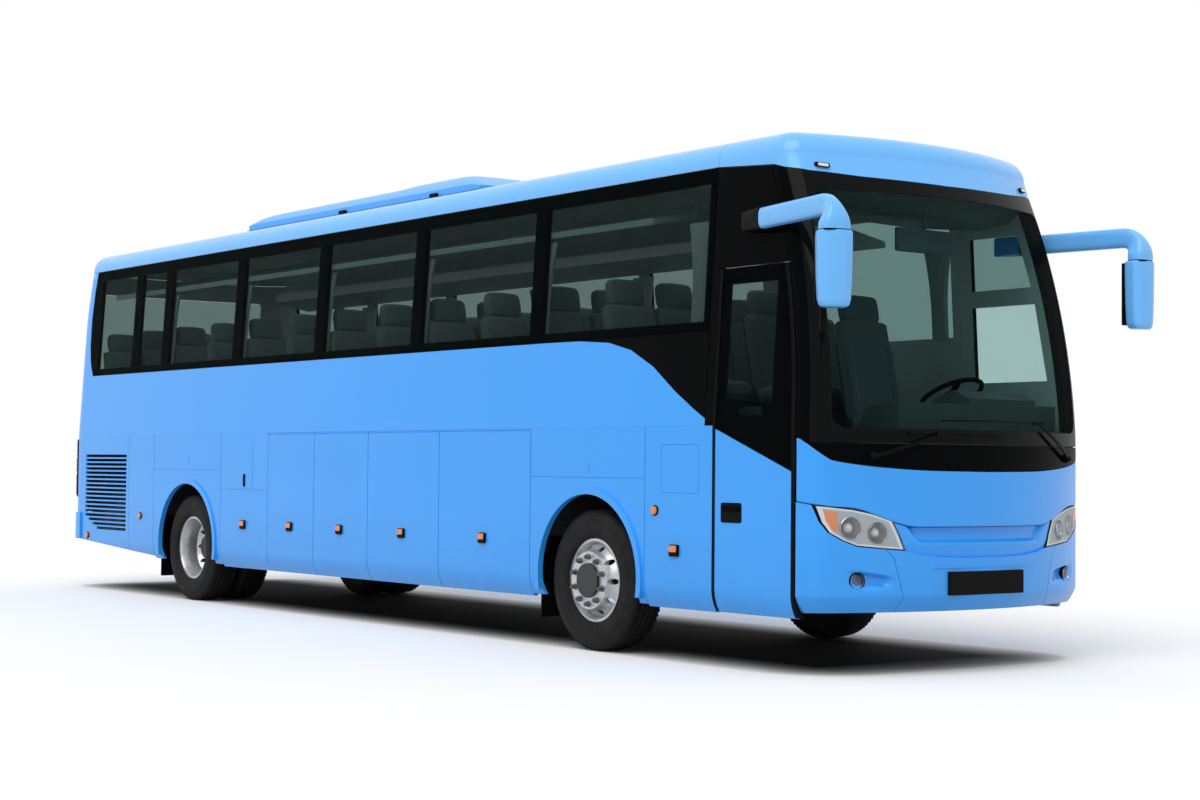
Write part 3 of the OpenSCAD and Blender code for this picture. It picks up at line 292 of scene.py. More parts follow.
@dataclass(frozen=True)
class Gloss(Finish):
    """Deep gloss trim, such as the black band and pillars, with faint wiped smears."""

    def lay(self, sketch: NodeSketch) -> None:
        """Lays out the gloss trim's nodes."""
        tone = sketch.blend(sketch.noise(2.5, 3.0), shade(self.colour, 0.8), shade(self.colour, 1.3))
        smear = sketch.noise(4.0, 5.0, (1.0, 1.0, 0.25))
        rough = sketch.remap(smear, 0.35, 0.7, self.rough * 0.7, self.rough * 1.6)
        sketch.show(sketch.shader(Base_Color=tone, Roughness=rough, Specular_IOR_Level=0.02))


@dataclass(frozen=True)
class Glazing(Finish):
    """Tinted glass: lets the cabin show, darkens it, and may carry a black printed border."""

    tint: Colour = (0.5, 0.6, 0.58)
    body: float = 0.30
    border: bool = False
    open_from: Colour | None = None
    open_to: Colour | None = None

    def lay(self, sketch: NodeSketch) -> None:
        """Lays out the glass's nodes."""
        smear = sketch.noise(2.2, 5.0, (1.0, 1.0, 0.3))
        rough = sketch.remap(smear, 0.35, 0.75, self.rough * 0.6, self.rough * 1.8)
        tone = sketch.blend(sketch.noise(1.1, 2.0), shade(self.colour, 0.85), shade(self.colour, 1.15))
        solid = sketch.remap(smear, 0.2, 0.8, self.body * 0.9, self.body * 1.1)
        if self.border:
            edge = sketch.add("ShaderNodeAttribute", {"attribute_name": "border"}).outputs["Fac"]
            mask = sketch.remap(edge, -0.004, 0.004, 1.0, 0.0)
            solid = sketch.math("MAXIMUM", solid, mask)
            tone = sketch.blend(mask, tone, srgb(11, 12, 13))
        tint: object = (*self.tint, 1.0)
        if self.open_from is not None and self.open_to is not None:
            inside: object = 1.0
            for axis, low, high in zip("XYZ", self.open_from, self.open_to):
                at = sketch.part(axis)
                inside = sketch.math("MULTIPLY", inside, sketch.math("GREATER_THAN", at, low))
                inside = sketch.math("MULTIPLY", inside, sketch.math("LESS_THAN", at, high))
            tint = sketch.blend(inside, self.tint, (0.96, 0.985, 0.98))
            solid = sketch.math("MULTIPLY", solid, sketch.remap(inside, 0.0, 1.0, 1.0, 0.3))
        glass = sketch.shader(Base_Color=tone, Roughness=rough, Specular_IOR_Level=0.06)
        clear = sketch.add("ShaderNodeBsdfTransparent", Color=tint).outputs[0]
        sketch.show(sketch.add("ShaderNodeMixShader", i0=solid, i1=clear, i2=glass).outputs[0])


@dataclass(frozen=True)
class Lens(Finish):
    """Coloured or clear lamp lens with moulded ribs inside."""

    clear: float = 0.0
    ribs: float = 180.0

    def lay(self, sketch: NodeSketch) -> None:
        """Lays out the lens's nodes."""
        wave = sketch.add("ShaderNodeTexWave", {"bands_direction": "Z"}, Vector=sketch.place, Scale=self.ribs)
        tone = sketch.blend(wave.outputs["Fac"], shade(self.colour, 0.7), shade(self.colour, 1.1))
        normal = sketch.bump(wave.outputs["Fac"], 0.25, 0.002)
        rough = sketch.remap(sketch.noise(20.0), 0.3, 0.7, self.rough * 0.8, self.rough * 1.3)
        lens = sketch.shader(Base_Color=tone, Roughness=rough, Normal=normal, Coat_Weight=0.6, Coat_Roughness=0.03)
        if self.clear > 0:
            through = sketch.add("ShaderNodeBsdfTransparent", Color=(0.97, 0.98, 0.99, 1.0)).outputs[0]
            share = sketch.remap(sketch.noise(14.0), 0.2, 0.8, 1.0 - self.clear * 1.03, 1.0 - self.clear * 0.97)
            lens = sketch.add("ShaderNodeMixShader", i0=share, i1=through, i2=lens).outputs[0]
        sketch.show(lens)


@dataclass(frozen=True)
class Metal(Finish):
    """Bare, plated or silver-painted metal with fine wear."""

    metallic: float = 1.0
    dust: float = 0.12
    hub: tuple[float, float] | None = None
    hub_radius: float = 0.1235

    def lay(self, sketch: NodeSketch) -> None:
        """Lays out the metal's nodes; a hub gives the axle's X and Z, round which it is black."""
        dust = sketch.remap(sketch.noise(18.0, 6.0), 0.45, 0.75, 0.0, self.dust)
        tone = sketch.blend(dust, self.colour, shade(srgb(120, 110, 98), 0.6))
        rough = sketch.remap(sketch.noise(60.0, 5.0), 0.3, 0.7, self.rough * 0.75, min(1.0, self.rough * 1.35))
        metallic: object = self.metallic
        if self.hub is not None:
            away = [sketch.math("SUBTRACT", sketch.part(axis), at) for axis, at in zip("XZ", self.hub)]
            squares = [sketch.math("MULTIPLY", a, a) for a in away]
            radius = sketch.math("SQRT", sketch.math("ADD", *squares))
            inside = sketch.remap(radius, self.hub_radius, self.hub_radius + 0.002, 1.0, 0.0)
            tone = sketch.blend(inside, tone, srgb(24, 24, 25))
            metallic = sketch.remap(inside, 0.0, 1.0, self.metallic, 0.0)
        normal = sketch.bump(sketch.noise(150.0, 4.0), 0.06, 0.001)
        sketch.show(sketch.shader(Base_Color=tone, Roughness=rough, Metallic=metallic, Normal=normal))


@dataclass(frozen=True)
class Rubber(Finish):
    """Tyre and seal rubber, greyed a little by dust."""

    dust: float = 0.25
    shine: float = 0.3

    def lay(self, sketch: NodeSketch) -> None:
        """Lays out the rubber's nodes."""
        dust = sketch.remap(sketch.noise(7.0, 6.0), 0.4, 0.8, 0.0, self.dust)
        tone = sketch.blend(dust, self.colour, srgb(74, 72, 68))
        rough = sketch.remap(sketch.noise(30.0, 4.0), 0.3, 0.7, self.rough * 0.9, min(1.0, self.rough * 1.1))
        normal = sketch.bump(sketch.noise(240.0, 3.0), 0.12, 0.001)
        sketch.show(sketch.shader(Base_Color=tone, Roughness=rough, Normal=normal, Specular_IOR_Level=self.shine))


@dataclass(frozen=True)
class Cloth(Finish):
    """Woven upholstery or curtain cloth with a second colour in its threads."""

    thread: Colour = (0.2, 0.2, 0.2)
    weave: float = 320.0

    def lay(self, sketch: NodeSketch) -> None:
        """Lays out the cloth's nodes."""
        warp = sketch.add("ShaderNodeTexWave", {"bands_direction": "Z"}, Vector=sketch.place, Scale=self.weave,
                          Distortion=1.0)
        weft = sketch.add("ShaderNodeTexWave", {"bands_direction": "Y"}, Vector=sketch.place, Scale=self.weave,
                          Distortion=1.0)
        weave = sketch.math("MULTIPLY", warp.outputs["Fac"], weft.outputs["Fac"])
        fleck = sketch.remap(sketch.noise(12.0, 2.0), 0.48, 0.62, 0.0, 0.5)
        tone = sketch.blend(fleck, self.colour, self.thread)
        tone = sketch.blend(weave, shade(self.colour, 0.85), tone)
        rough = sketch.remap(weave, 0.0, 1.0, min(1.0, self.rough * 1.1), self.rough * 0.95)
        sketch.show(sketch.shader(Base_Color=tone, Roughness=rough, Normal=sketch.bump(weave, 0.12, 0.0010),
                                  Sheen_Weight=0.25, Sheen_Roughness=0.4))


BLUE = Paint("body_paint", srgb(50, 161, 252), 0.24)
# A lighter copy of the body paint: painted light from above, used on the roof and the mirrors.
LIT_BLUE = Paint("roof_paint", srgb(108, 186, 255), 0.26, film=0.0)
# A lighter copy of the body paint on the roof pod: painted light from above.
LIT_POD_BLUE = Paint("pod_paint", srgb(78, 170, 254), 0.55, film=0.0)
BLACK = Gloss("black_band", srgb(5, 6, 7), 0.12)
FRAME_BLACK = Moulding("satin_black", srgb(10, 10, 11), 0.45, 300.0, 0.0004, 0.05)
SIDE_GLASS = Glazing("side_glass", srgb(36, 42, 43), 0.05, (0.60, 0.67, 0.655), 0.06)
CAB_GLASS = Glazing("cab_glass", srgb(36, 42, 43), 0.05, (0.60, 0.67, 0.655), 0.06,
                    open_from=(4.6, 0.0, 1.90), open_to=(5.5, 2.0, 2.54))
SCREEN_GLASS = Glazing("screen_glass", srgb(30, 36, 36), 0.04, (0.64, 0.765, 0.75), 0.06, border=True)
CLEAR_LENS = Lens("clear_lens", srgb(225, 230, 232), 0.06, 0.93, 90.0)
AMBER = Lens("amber_plastic", srgb(250, 132, 8), 0.18, 0.0, 160.0)
RED = Lens("red_lens", srgb(185, 20, 22), 0.18, 0.0, 160.0)
WHITE_LENS = Lens("white_lens", srgb(232, 232, 228), 0.15, 0.0, 160.0)
FOG_LENS = Lens("fog_lens", srgb(70, 76, 80), 0.06, 0.45, 90.0)
LAMP_RIM = Moulding("lamp_rim", srgb(228, 231, 232), 0.35, 300.0, 0.0003, 0.4)
# Grey metal, much darker than real chrome: painted shade standing in for the dark surroundings that lamp reflectors
# mirror.
DARKENED_CHROME = Metal("lamp_reflector", (0.30, 0.31, 0.33), 0.12, 1.0, 0.03)
BEZEL = Moulding("lamp_housing", srgb(172, 177, 180), 0.35, 300.0, 0.0002, 0.4)
MIRROR = Metal("mirror_glass", (0.86, 0.88, 0.9), 0.03, 1.0, 0.02)
STEEL = Metal("chassis_steel", srgb(62, 63, 66), 0.55, 0.25, 0.45)
IRON = Metal("cast_iron", srgb(98, 100, 102), 0.6, 0.5, 0.5)
NUT_STEEL = Metal("wheel_nut", srgb(120, 121, 124), 0.35, 0.9, 0.25)
TYRE = Rubber("tyre_rubber", srgb(17, 17, 18), 0.72, 0.14, 0.2)
SEAL = Rubber("seal_rubber", srgb(8, 8, 9), 0.6, 0.02, 0.05)
FLOORING = Moulding("floor_vinyl", srgb(124, 126, 130), 0.6, 90.0, 0.001, 0.3)
LINING = Moulding("cabin_lining", srgb(208, 212, 211), 0.65, 160.0, 0.0008, 0.25)
RACK = Moulding("rack_lining", srgb(186, 191, 190), 0.65, 160.0, 0.0008, 0.25)
DASH = Moulding("dash_plastic", srgb(92, 98, 100), 0.6, 240.0, 0.0009, 0.3)
UPHOLSTERY = Cloth("seat_cloth", srgb(134, 140, 144), 0.9, srgb(112, 126, 150))
CURTAIN = Cloth("curtain_cloth", srgb(206, 210, 208), 0.95, srgb(186, 192, 192), 420.0)
PLATE = Moulding("blank_plate", srgb(10, 10, 11), 0.5, 200.0, 0.0003, 0.06)


def solid_mesh(name: str, verts: Iterable, faces: Iterable, closed: bool = True) -> bpy.types.Mesh:
    """Makes a mesh with merged doubles and outward faces.

    Args:
        name: Name of the mesh.
        verts: Points in metres.
        faces: Lists of point numbers.
        closed: False for a sheet, which keeps its faces' direction.

    Returns:
        The mesh.
    """
    mesh = bpy.data.meshes.new(name)
    mesh.from_pydata([tuple(v) for v in verts], [], [list(f) for f in faces])
    work = bmesh.new()
    work.from_mesh(mesh)
    bmesh.ops.remove_doubles(work, verts=work.verts, dist=1e-6)
    bmesh.ops.dissolve_degenerate(work, edges=work.edges, dist=1e-7)
    if closed:
        bmesh.ops.recalc_face_normals(work, faces=work.faces)
    work.to_mesh(mesh)
    work.free()
    return mesh


def new_object(name: str, mesh: bpy.types.Mesh) -> bpy.types.Object:
    """Puts a mesh into the scene at the origin."""
    piece = bpy.data.objects.new(name, mesh)
    bpy.context.scene.collection.objects.link(piece)
    return piece


def bake(piece: bpy.types.Object) -> None:
    """Turns the result of a piece's modifiers into its plain mesh."""
    bpy.context.view_layer.update()
    graph = bpy.context.evaluated_depsgraph_get()
    mesh = bpy.data.meshes.new_from_object(piece.evaluated_get(graph))
    piece.modifiers.clear()
    piece.data = mesh


def round_edges(piece: bpy.types.Object, width: float, segments: int = 2, angle: float = 35.0) -> None:
    """Rounds a piece's sharp edges and bakes the result."""
    bevel = piece.modifiers.new("edges", "BEVEL")
    bevel.width = width
    bevel.segments = segments
    bevel.limit_method = "ANGLE"
    bevel.angle_limit = math.radians(angle)
    bevel.use_clamp_overlap = True
    bake(piece)


def smooth(piece: bpy.types.Object, angle: float = 35.0) -> None:
    """Shades a piece smooth, with edges over the angle kept sharp."""
    mesh = piece.data
    mesh.polygons.foreach_set("use_smooth", [True] * len(mesh.polygons))
    mesh.set_sharp_from_angle(angle=math.radians(angle))
    flatten = piece.modifiers.new("normals", "WEIGHTED_NORMAL")
    flatten.keep_sharp = True
    flatten.weight = 80
    bake(piece)


def cut_away(piece: bpy.types.Object, cutters: Sequence[bpy.types.Mesh]) -> None:
    """Cuts closed shapes out of a piece.

    Args:
        piece: The solid that is cut.
        cutters: Meshes in the same frame; they are removed afterwards.
    """
    for mesh in cutters:
        cutter = new_object("cutter", mesh)
        step = piece.modifiers.new("cut", "BOOLEAN")
        step.operation = "DIFFERENCE"
        step.solver = "MANIFOLD"
        step.object = cutter
        bake(piece)
        bpy.data.objects.remove(cutter)


def settle(piece: bpy.types.Object, finishes: Sequence[Finish], body: str,
           stands_for: Sequence[str] = (), angle: float = 35.0) -> bpy.types.Object:
    """Gives a piece its finishes, shading and body, and hides the CAD nodes that it replaces.

    Args:
        piece: The finished mesh object.
        finishes: Its finishes in the order of its material slots.
        body: The body that it rides on.
        stands_for: CAD nodes that it replaces.
        angle: Edges sharper than this stay sharp.

    Returns:
        The same piece.
    """
    chosen = [p.material_index for p in piece.data.polygons]
    piece.data.materials.clear()
    for finish in finishes:
        piece.data.materials.append(finish.material())
    piece.data.polygons.foreach_set("material_index", [min(c, len(finishes) - 1) for c in chosen])
    smooth(piece, angle)
    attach(piece, body)
    if stands_for:
        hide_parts(*stands_for)
    LOG.info("%s rides on %s with %d faces", piece.name, body, len(piece.data.polygons))
    return piece


def body_of_node(node: str) -> str:
    """Gives the body that a CAD node belongs to."""
    return frame["nodes"][node]["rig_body"]


def joint_at(name: str) -> Vector:
    """Gives the place of a joint."""
    return Vector(next(j["pos_m"] for j in frame["joints"] if j["name"] == name))


def node_copy(node: str, name: str) -> bpy.types.Object:
    """Copies a CAD node's mesh, merges its triangles and joins its flat faces."""
    mesh = frame["nodes"][node].data.copy()
    mesh.name = name
    work = bmesh.new()
    work.from_mesh(mesh)
    bmesh.ops.remove_doubles(work, verts=work.verts, dist=2e-5)
    bmesh.ops.dissolve_limit(work, angle_limit=math.radians(0.4), verts=work.verts, edges=work.edges)
    for face in work.faces:
        face.material_index = 0
    work.to_mesh(mesh)
    work.free()
    return new_object(name, mesh)


def dress_node(node: str, finish: Finish, edge: float = 0.004, angle: float = 35.0, others: Sequence[Finish] = (),
               choose: Callable[[Vector, Vector], int] | None = None) -> bpy.types.Object:
    """Replaces a CAD node by a copy with rounded edges.

    Args:
        node: The node's name.
        finish: Its main finish.
        edge: Radius of its edges, or 0 to leave them sharp.
        angle: Edges sharper than this are rounded.
        others: Further finishes.
        choose: Gives the number of the finish from a face's middle and normal.

    Returns:
        The new piece.
    """
    piece = node_copy(node, node + "_skin")
    if choose is not None:
        for face in piece.data.polygons:
            face.material_index = choose(face.center, face.normal)
    for spare in (finish, *others):
        piece.data.materials.append(spare.material())
    if edge > 0:
        round_edges(piece, edge, 2, angle)
    return settle(piece, (finish, *others), body_of_node(node), [node], angle)


def finish_node(node: str, finish: Finish) -> None:
    """Gives a CAD node that stays a finish."""
    mesh = frame["nodes"][node].data
    mesh.materials.clear()
    mesh.materials.append(finish.material())
    LOG.info("%s keeps its shape and takes %s", node, finish.name)


def block_mesh(name: str, low: Sequence[float], high: Sequence[float]) -> bpy.types.Mesh:
    """Box between two corners."""
    xs, ys, zs = zip(low, high)
    verts = [(x, y, z) for x in xs for y in ys for z in zs]
    faces = [(0, 1, 3, 2), (4, 6, 7, 5), (0, 4, 5, 1), (2, 3, 7, 6), (0, 2, 6, 4), (1, 5, 7, 3)]
    return solid_mesh(name, verts, faces)


def prism_x(name: str, outline: Sequence[Point2], x0: float, x1: float) -> bpy.types.Mesh:
    """Extrudes a Y-Z outline from x0 to x1."""
    n = len(outline)
    verts = [(x, y, z) for x in (x0, x1) for y, z in outline]
    sides = [[i, (i + 1) % n, n + (i + 1) % n, n + i] for i in range(n)]
    return solid_mesh(name, verts, [list(range(n)), list(range(n, 2 * n)), *sides])


def padded_box(half: Vector, radius: float, crown: float = 0.0, steps: int = 5) -> Shape:
    """Box with rounded edges and softly crowned faces, centred on the origin.

    Args:
        half: Half its size along each axis.
        radius: Radius of its edges.
        crown: How far the middle of each face swells.
        steps: Cells along each face.

    Returns:
        Its points and faces.
    """
    ticks = [-1.0, -0.93, *spread(-0.8, 0.8, steps), 0.93, 1.0]
    verts: list[Vector] = []
    faces: Faces = []
    for axis in range(3):
        for sign in (-1, 1):
            start = len(verts)
            for a in ticks:
                for b in ticks:
                    unit = [0.0, 0.0, 0.0]
                    unit[axis], unit[(axis + 1) % 3], unit[(axis + 2) % 3] = sign, a, b
                    p = Vector([u * h for u, h in zip(unit, half)])
                    q = Vector([max(-h + radius, min(h - radius, c)) for c, h in zip(p, half)])
                    d = p - q
                    p = q + d.normalized() * radius if d.length > 1e-9 else p
                    p[axis] += sign * crown * (1 - a * a) * (1 - b * b)
                    verts.append(p)
            n = len(ticks)
            faces += [[start + i * n + j, start + (i + 1) * n + j, start + (i + 1) * n + j + 1, start + i * n + j + 1]
                      for i in range(n - 1) for j in range(n - 1)]
    return verts, faces


def placed(shape: Shape, matrix: Matrix) -> Shape:
    """A shape after a move."""
    return [matrix @ v for v in shape[0]], shape[1]


def tube_faces(rings: int, sides: int) -> Faces:
    """Quads between rings of points, with both ends closed."""
    quads = [[r * sides + k, r * sides + (k + 1) % sides, (r + 1) * sides + (k + 1) % sides, (r + 1) * sides + k]
             for r in range(rings - 1) for k in range(sides)]
    return [*quads, list(range(sides)), list(range((rings - 1) * sides, rings * sides))]


def squarish(step: int, sides: int, power: float) -> Point2:
    """A point of a round outline of half size 1: a circle at power 2, squarer above it."""
    c, s = math.cos(2 * math.pi * step / sides), math.sin(2 * math.pi * step / sides)
    return math.copysign(abs(c) ** (2 / power), c), math.copysign(abs(s) ** (2 / power), s)


def joined(shapes: Sequence[Shape]) -> Shape:
    """Puts several shapes into one list of points and faces."""
    verts: list[Vector] = []
    faces: Faces = []
    for points, parts in shapes:
        faces += [[i + len(verts) for i in part] for part in parts]
        verts += points
    return verts, faces


def lathe(profile: Sequence[Point2], centre: Vector, segments: int) -> Shape:
    """Turns a closed outline of radius and Y about the Y axis through a centre."""
    n = len(profile)
    verts = [centre + Vector((r * math.cos(t), y, r * math.sin(t)))
             for t in spread(0, 2 * math.pi, segments)[:-1] for r, y in profile]
    faces = [[s * n + i, s * n + (i + 1) % n, (s + 1) % segments * n + (i + 1) % n, (s + 1) % segments * n + i]
             for s in range(segments) for i in range(n)]
    return verts, faces


def disc_y(radius: float, depth: float, centre: Vector, sides: int, chamfer: float = 0.2) -> Shape:
    """Chamfered disc along Y from a centre, such as a nut with six sides."""
    rings = [(radius, 0.0), (radius, depth * (1 - chamfer)), (radius * (1 - chamfer), depth)]
    verts = [centre + Vector((r * math.cos(2 * math.pi * i / sides), y, r * math.sin(2 * math.pi * i / sides)))
             for r, y in rings for i in range(sides)]
    return verts, tube_faces(len(rings), sides)


def swept(path: Sequence[Vector], half: Callable[[float], Point2], side: Vector, power: float = 2.5,
          sides: int = 20) -> Shape:
    """Sweeps a rounded section along a path and closes both ends.

    Args:
        path: Points of the centre line.
        half: Half width and half height of the section by the share of the path.
        side: The direction that the width keeps to.
        power: 2 for an ellipse, more for a squarer section.
        sides: Points round the section.

    Returns:
        Points and faces.
    """
    verts: list[Vector] = []
    last = len(path) - 1
    for i, p in enumerate(path):
        ahead = (path[min(i + 1, last)] - path[max(i - 1, 0)]).normalized()
        across = (side - ahead * side.dot(ahead)).normalized()
        upward = ahead.cross(across)
        w, h = half(i / last)
        for a, b in (squarish(k, sides, power) for k in range(sides)):
            verts.append(p + across * (a * w) + upward * (b * h))
    return verts, tube_faces(len(path), sides)


class Pattern(Enum):
    """How a repeated shape is laid out."""

    ROW = "row"
    RING = "ring"


@dataclass(frozen=True)
class Repeat:
    """Geometry Nodes tree that repeats one shape along a row or round an axis along Y."""

    pattern: Pattern

    def tree(self) -> bpy.types.NodeTree:
        """Builds the node tree with its named inputs.

        Returns:
            The tree, with the sockets Shape, Count, Step, Centre and Finish.
        """
        tree = bpy.data.node_groups.new("repeat_" + self.pattern.value, "GeometryNodeTree")
        sockets = (("Shape", "NodeSocketObject"), ("Count", "NodeSocketInt"), ("Step", "NodeSocketVector"),
                   ("Centre", "NodeSocketVector"), ("Finish", "NodeSocketMaterial"))
        tree.interface.new_socket("Geometry", in_out="INPUT", socket_type="NodeSocketGeometry")
        for name, kind in sockets:
            tree.interface.new_socket(name, in_out="INPUT", socket_type=kind)
        tree.interface.new_socket("Geometry", in_out="OUTPUT", socket_type="NodeSocketGeometry")

        def add(kind: str, **links: bpy.types.NodeSocket) -> bpy.types.Node:
            """Adds a node and links its inputs by name."""
            node = tree.nodes.new(kind)
            for key, source in links.items():
                tree.links.new(source, node.inputs[key.replace("_", " ")])
            return node

        given = add("NodeGroupInput").outputs
        shape = add("GeometryNodeObjectInfo", Object=given["Shape"])
        line = add("GeometryNodeMeshLine", Count=given["Count"])
        if self.pattern is Pattern.ROW:
            tree.links.new(given["Step"], line.inputs["Offset"])
            copies = add("GeometryNodeInstanceOnPoints", Points=line.outputs[0], Instance=shape.outputs["Geometry"])
        else:
            line.inputs["Offset"].default_value = (0, 0, 0)
            turn = tree.nodes.new("ShaderNodeVectorMath")
            turn.operation = "SCALE"
            tree.links.new(given["Step"], turn.inputs[0])
            tree.links.new(add("GeometryNodeInputIndex").outputs[0], turn.inputs["Scale"])
            copies = add("GeometryNodeInstanceOnPoints", Points=line.outputs[0], Instance=shape.outputs["Geometry"],
                         Rotation=turn.outputs[0])
        placed = add("GeometryNodeTransform", Geometry=copies.outputs[0], Translation=given["Centre"])
        real = add("GeometryNodeRealizeInstances", Geometry=placed.outputs[0])
        dressed = add("GeometryNodeSetMaterial", Geometry=real.outputs[0], Material=given["Finish"])
        add("NodeGroupOutput", Geometry=dressed.outputs[0])
        return tree

    def make(self, name: str, shape: Shape, count: int, step: Sequence[float],
             centre: Sequence[float], finish: Finish) -> bpy.types.Object:
        """Repeats a shape and gives the result as one plain mesh.

        Args:
            name: Name of the new piece.
            shape: Points and faces of one copy, about the origin.
            count: Number of copies.
            step: Shift between two copies in a row, or turn between two copies in a ring.
            centre: Where the row starts or the ring's centre is.
            finish: The finish of all copies.

        Returns:
            The new object.
        """
        template = new_object("template", solid_mesh("template", *shape))
        host = new_object(name, bpy.data.meshes.new(name))
        step_in = host.modifiers.new("repeat", "NODES")
        step_in.node_group = self.tree()
        values = {"Shape": template, "Count": count, "Step": tuple(step), "Centre": tuple(centre),
                  "Finish": finish.material()}
        for socket in step_in.node_group.interface.items_tree:
            if socket.in_out == "INPUT" and socket.name in values:
                step_in[socket.identifier] = values[socket.name]
        bake(host)
        bpy.data.objects.remove(template)
        return host


ROW = Repeat(Pattern.ROW)
RING = Repeat(Pattern.RING)


@dataclass(frozen=True)
class ShellForm:
    """The body's outer surface, in metres: half width, lean, tuck, bowed ends and roof edge."""

    front: float = field(default_factory=lambda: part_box("front_panel")[1].x)
    rear: float = field(default_factory=lambda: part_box("rear_bumper")[0].x)
    half: float = 1.275
    waist: float = 1.595
    lean: float = math.tan(math.radians(3.6))
    sill: float = 2.225
    gutter: float = 3.330
    tuck_top: float = 0.520
    tuck_radius: float = 0.275
    screen_z: float = 1.400
    screen_radius: float = 4.600
    tail_z: float = 2.600
    tail_radius: float = 3.000
    bows: tuple[float, float] = (2.800, 8.000)
    corners: tuple[float, float] = (0.200, 0.280)
    bumper_out: float = 0.020
    roof_edge: float = 0.165
    crown_radius: float = 9.000
    door_width: float = 0.810
    dark_line: tuple = ((0, 1.307), (0.4, 1.312), (0.7, 1.330), (0.85, 1.347), (0.94, 1.361), (1, 1.375), (1.1, 1.389),
                        (1.4, 1.433), (1.7, 1.478), (2, 1.510), (3, 1.515))
    bonnet_line: tuple = ((0, 0.948), (0.5, 0.949), (0.625, 0.978), (0.75, 1.027), (0.875, 1.068), (1, 1.076),
                          (1.6, 1.093), (2, 1.104), (3, 1.108))
    cap_line: tuple = ((0, 3.205), (0.6, 3.215), (1, 3.240), (1.6, 3.262), (2, 3.290), (3, 3.330))

    def half_at(self, z: float) -> float:
        """Half width at a height, with the lean above the waist."""
        return self.half - max(0.0, z - self.waist) * self.lean

    def tuck(self, z: float) -> float:
        """How far the skirt curls in at a height."""
        drop = max(0.0, self.tuck_top - z)
        return self.tuck_radius - math.sqrt(self.tuck_radius ** 2 - drop * drop)

    def side_y(self, z: float) -> float:
        """Half width at a height with lean and tuck."""
        return self.half_at(z) - self.tuck(z)

    def reach(self, end: End, z: float) -> float:
        """How far an end's middle stands out at a height, along its own direction."""
        out = self.front if end is End.FRONT else -self.rear - self.bumper_out
        start, radius = ((self.screen_z, self.screen_radius) if end is End.FRONT
                         else (self.tail_z, self.tail_radius))
        rise = max(0.0, z - start)
        return out - radius + math.sqrt(radius ** 2 - rise * rise)

    def plan(self, end: End) -> tuple[float, float]:
        """Radius of an end's bow and of its corners."""
        i = 0 if end is End.FRONT else 1
        return self.bows[i], self.corners[i]

    def tangent(self, end: End, z: float) -> float:
        """Where a corner runs into the flat side at a height."""
        bow, corner = self.plan(end)
        return (self.reach(end, z) - bow
                + math.sqrt((bow - corner) ** 2 - (self.half_at(z) - corner) ** 2))

    def jamb(self, z: float) -> float:
        """X of the line between the front corner and the door at a height."""
        return self.tangent(End.FRONT, max(z, 1.0)) - 0.012

    @property
    def door_front(self) -> float:
        """X of the doorway's front edge."""
        return self.jamb(1.0)

    @property
    def door_rear(self) -> float:
        """X of the doorway's rear edge."""
        return self.door_front - self.door_width

    @property
    def band_front(self) -> float:
        """X of the window band's front end."""
        return self.door_rear - 0.090

    @property
    def side_rear(self) -> float:
        """X where the flat side meets the rear corner."""
        return self.rear + 0.420

    def point(self, end: End, u: float, z: float, off: float = 0.0, far: float | None = None) -> Vector:
        """A point of an end: u runs 0 to 1 over the bow, to 2 round the corner, to 3 along the side.

        Args:
            end: Front or rear.
            u: Place across the end, negative on the right.
            z: Height.
            off: Distance outside the surface.
            far: X where the straight stretch ends, as its distance along the end's direction.

        Returns:
            The point.
        """
        e, s, a = end.value, (-1 if u < 0 else 1), abs(u)
        bow, corner = self.plan(end)
        o = off - self.tuck(z)
        middle, width, p = self.reach(end, z) - bow, self.half_at(z), self.tangent(end, z)
        turn = math.asin((width - corner) / (bow - corner))
        if a <= 1:
            return Vector((e * (middle + (bow + o) * math.cos(a * turn)), s * (bow + o) * math.sin(a * turn), z))
        if a <= 2:
            t = turn + (a - 1) * (math.pi / 2 - turn)
            return Vector((e * (p + (corner + o) * math.cos(t)), s * (width - corner + (corner + o) * math.sin(t)), z))
        if far is None:
            far = self.jamb(z) if end is End.FRONT else -self.side_rear
        return Vector((e * (p + (a - 2) * (far - p)), s * (width + o), z))

    def at_front(self, y: float, z: float, off: float = 0.0) -> Vector:
        """The point of the front at a given Y and height."""
        return self.at_end(End.FRONT, y, z, off)

    def at_end(self, end: End, y: float, z: float, off: float = 0.0) -> Vector:
        """The point of an end at a given Y and height."""
        bow, corner = self.plan(end)
        o, a = off - self.tuck(z), abs(y)
        width = self.half_at(z)
        turn = math.asin((width - corner) / (bow - corner))
        t = math.asin(min(1.0, a / (bow + o)))
        if t <= turn:
            x = self.reach(end, z) - bow + (bow + o) * math.cos(t)
        else:
            t = math.asin(min(0.999, (a - width + corner) / (corner + o)))
            x = self.tangent(end, z) + (corner + o) * math.cos(t)
        return Vector((end.value * x, y, z))

    def at_side(self, side: Side, x: float, z: float, off: float = 0.0) -> Vector:
        """The point of a side at a given X and height."""
        return Vector((x, side.value * (self.side_y(z) + off), z))


FORM = ShellForm()
FRONT_US = both(spread(0, 1, 22) + spread(1.07, 2, 13) + [3.0])
REAR_US = both(spread(0, 1, 10) + spread(1.07, 2, 13) + [3.0])


def grid_faces(rows: int, cols: int, start: int = 0) -> Faces:
    """Quads of a grid of points."""
    return [[start + r * cols + c, start + r * cols + c + 1, start + (r + 1) * cols + c + 1, start + (r + 1) * cols + c]
            for r in range(rows - 1) for c in range(cols - 1)]


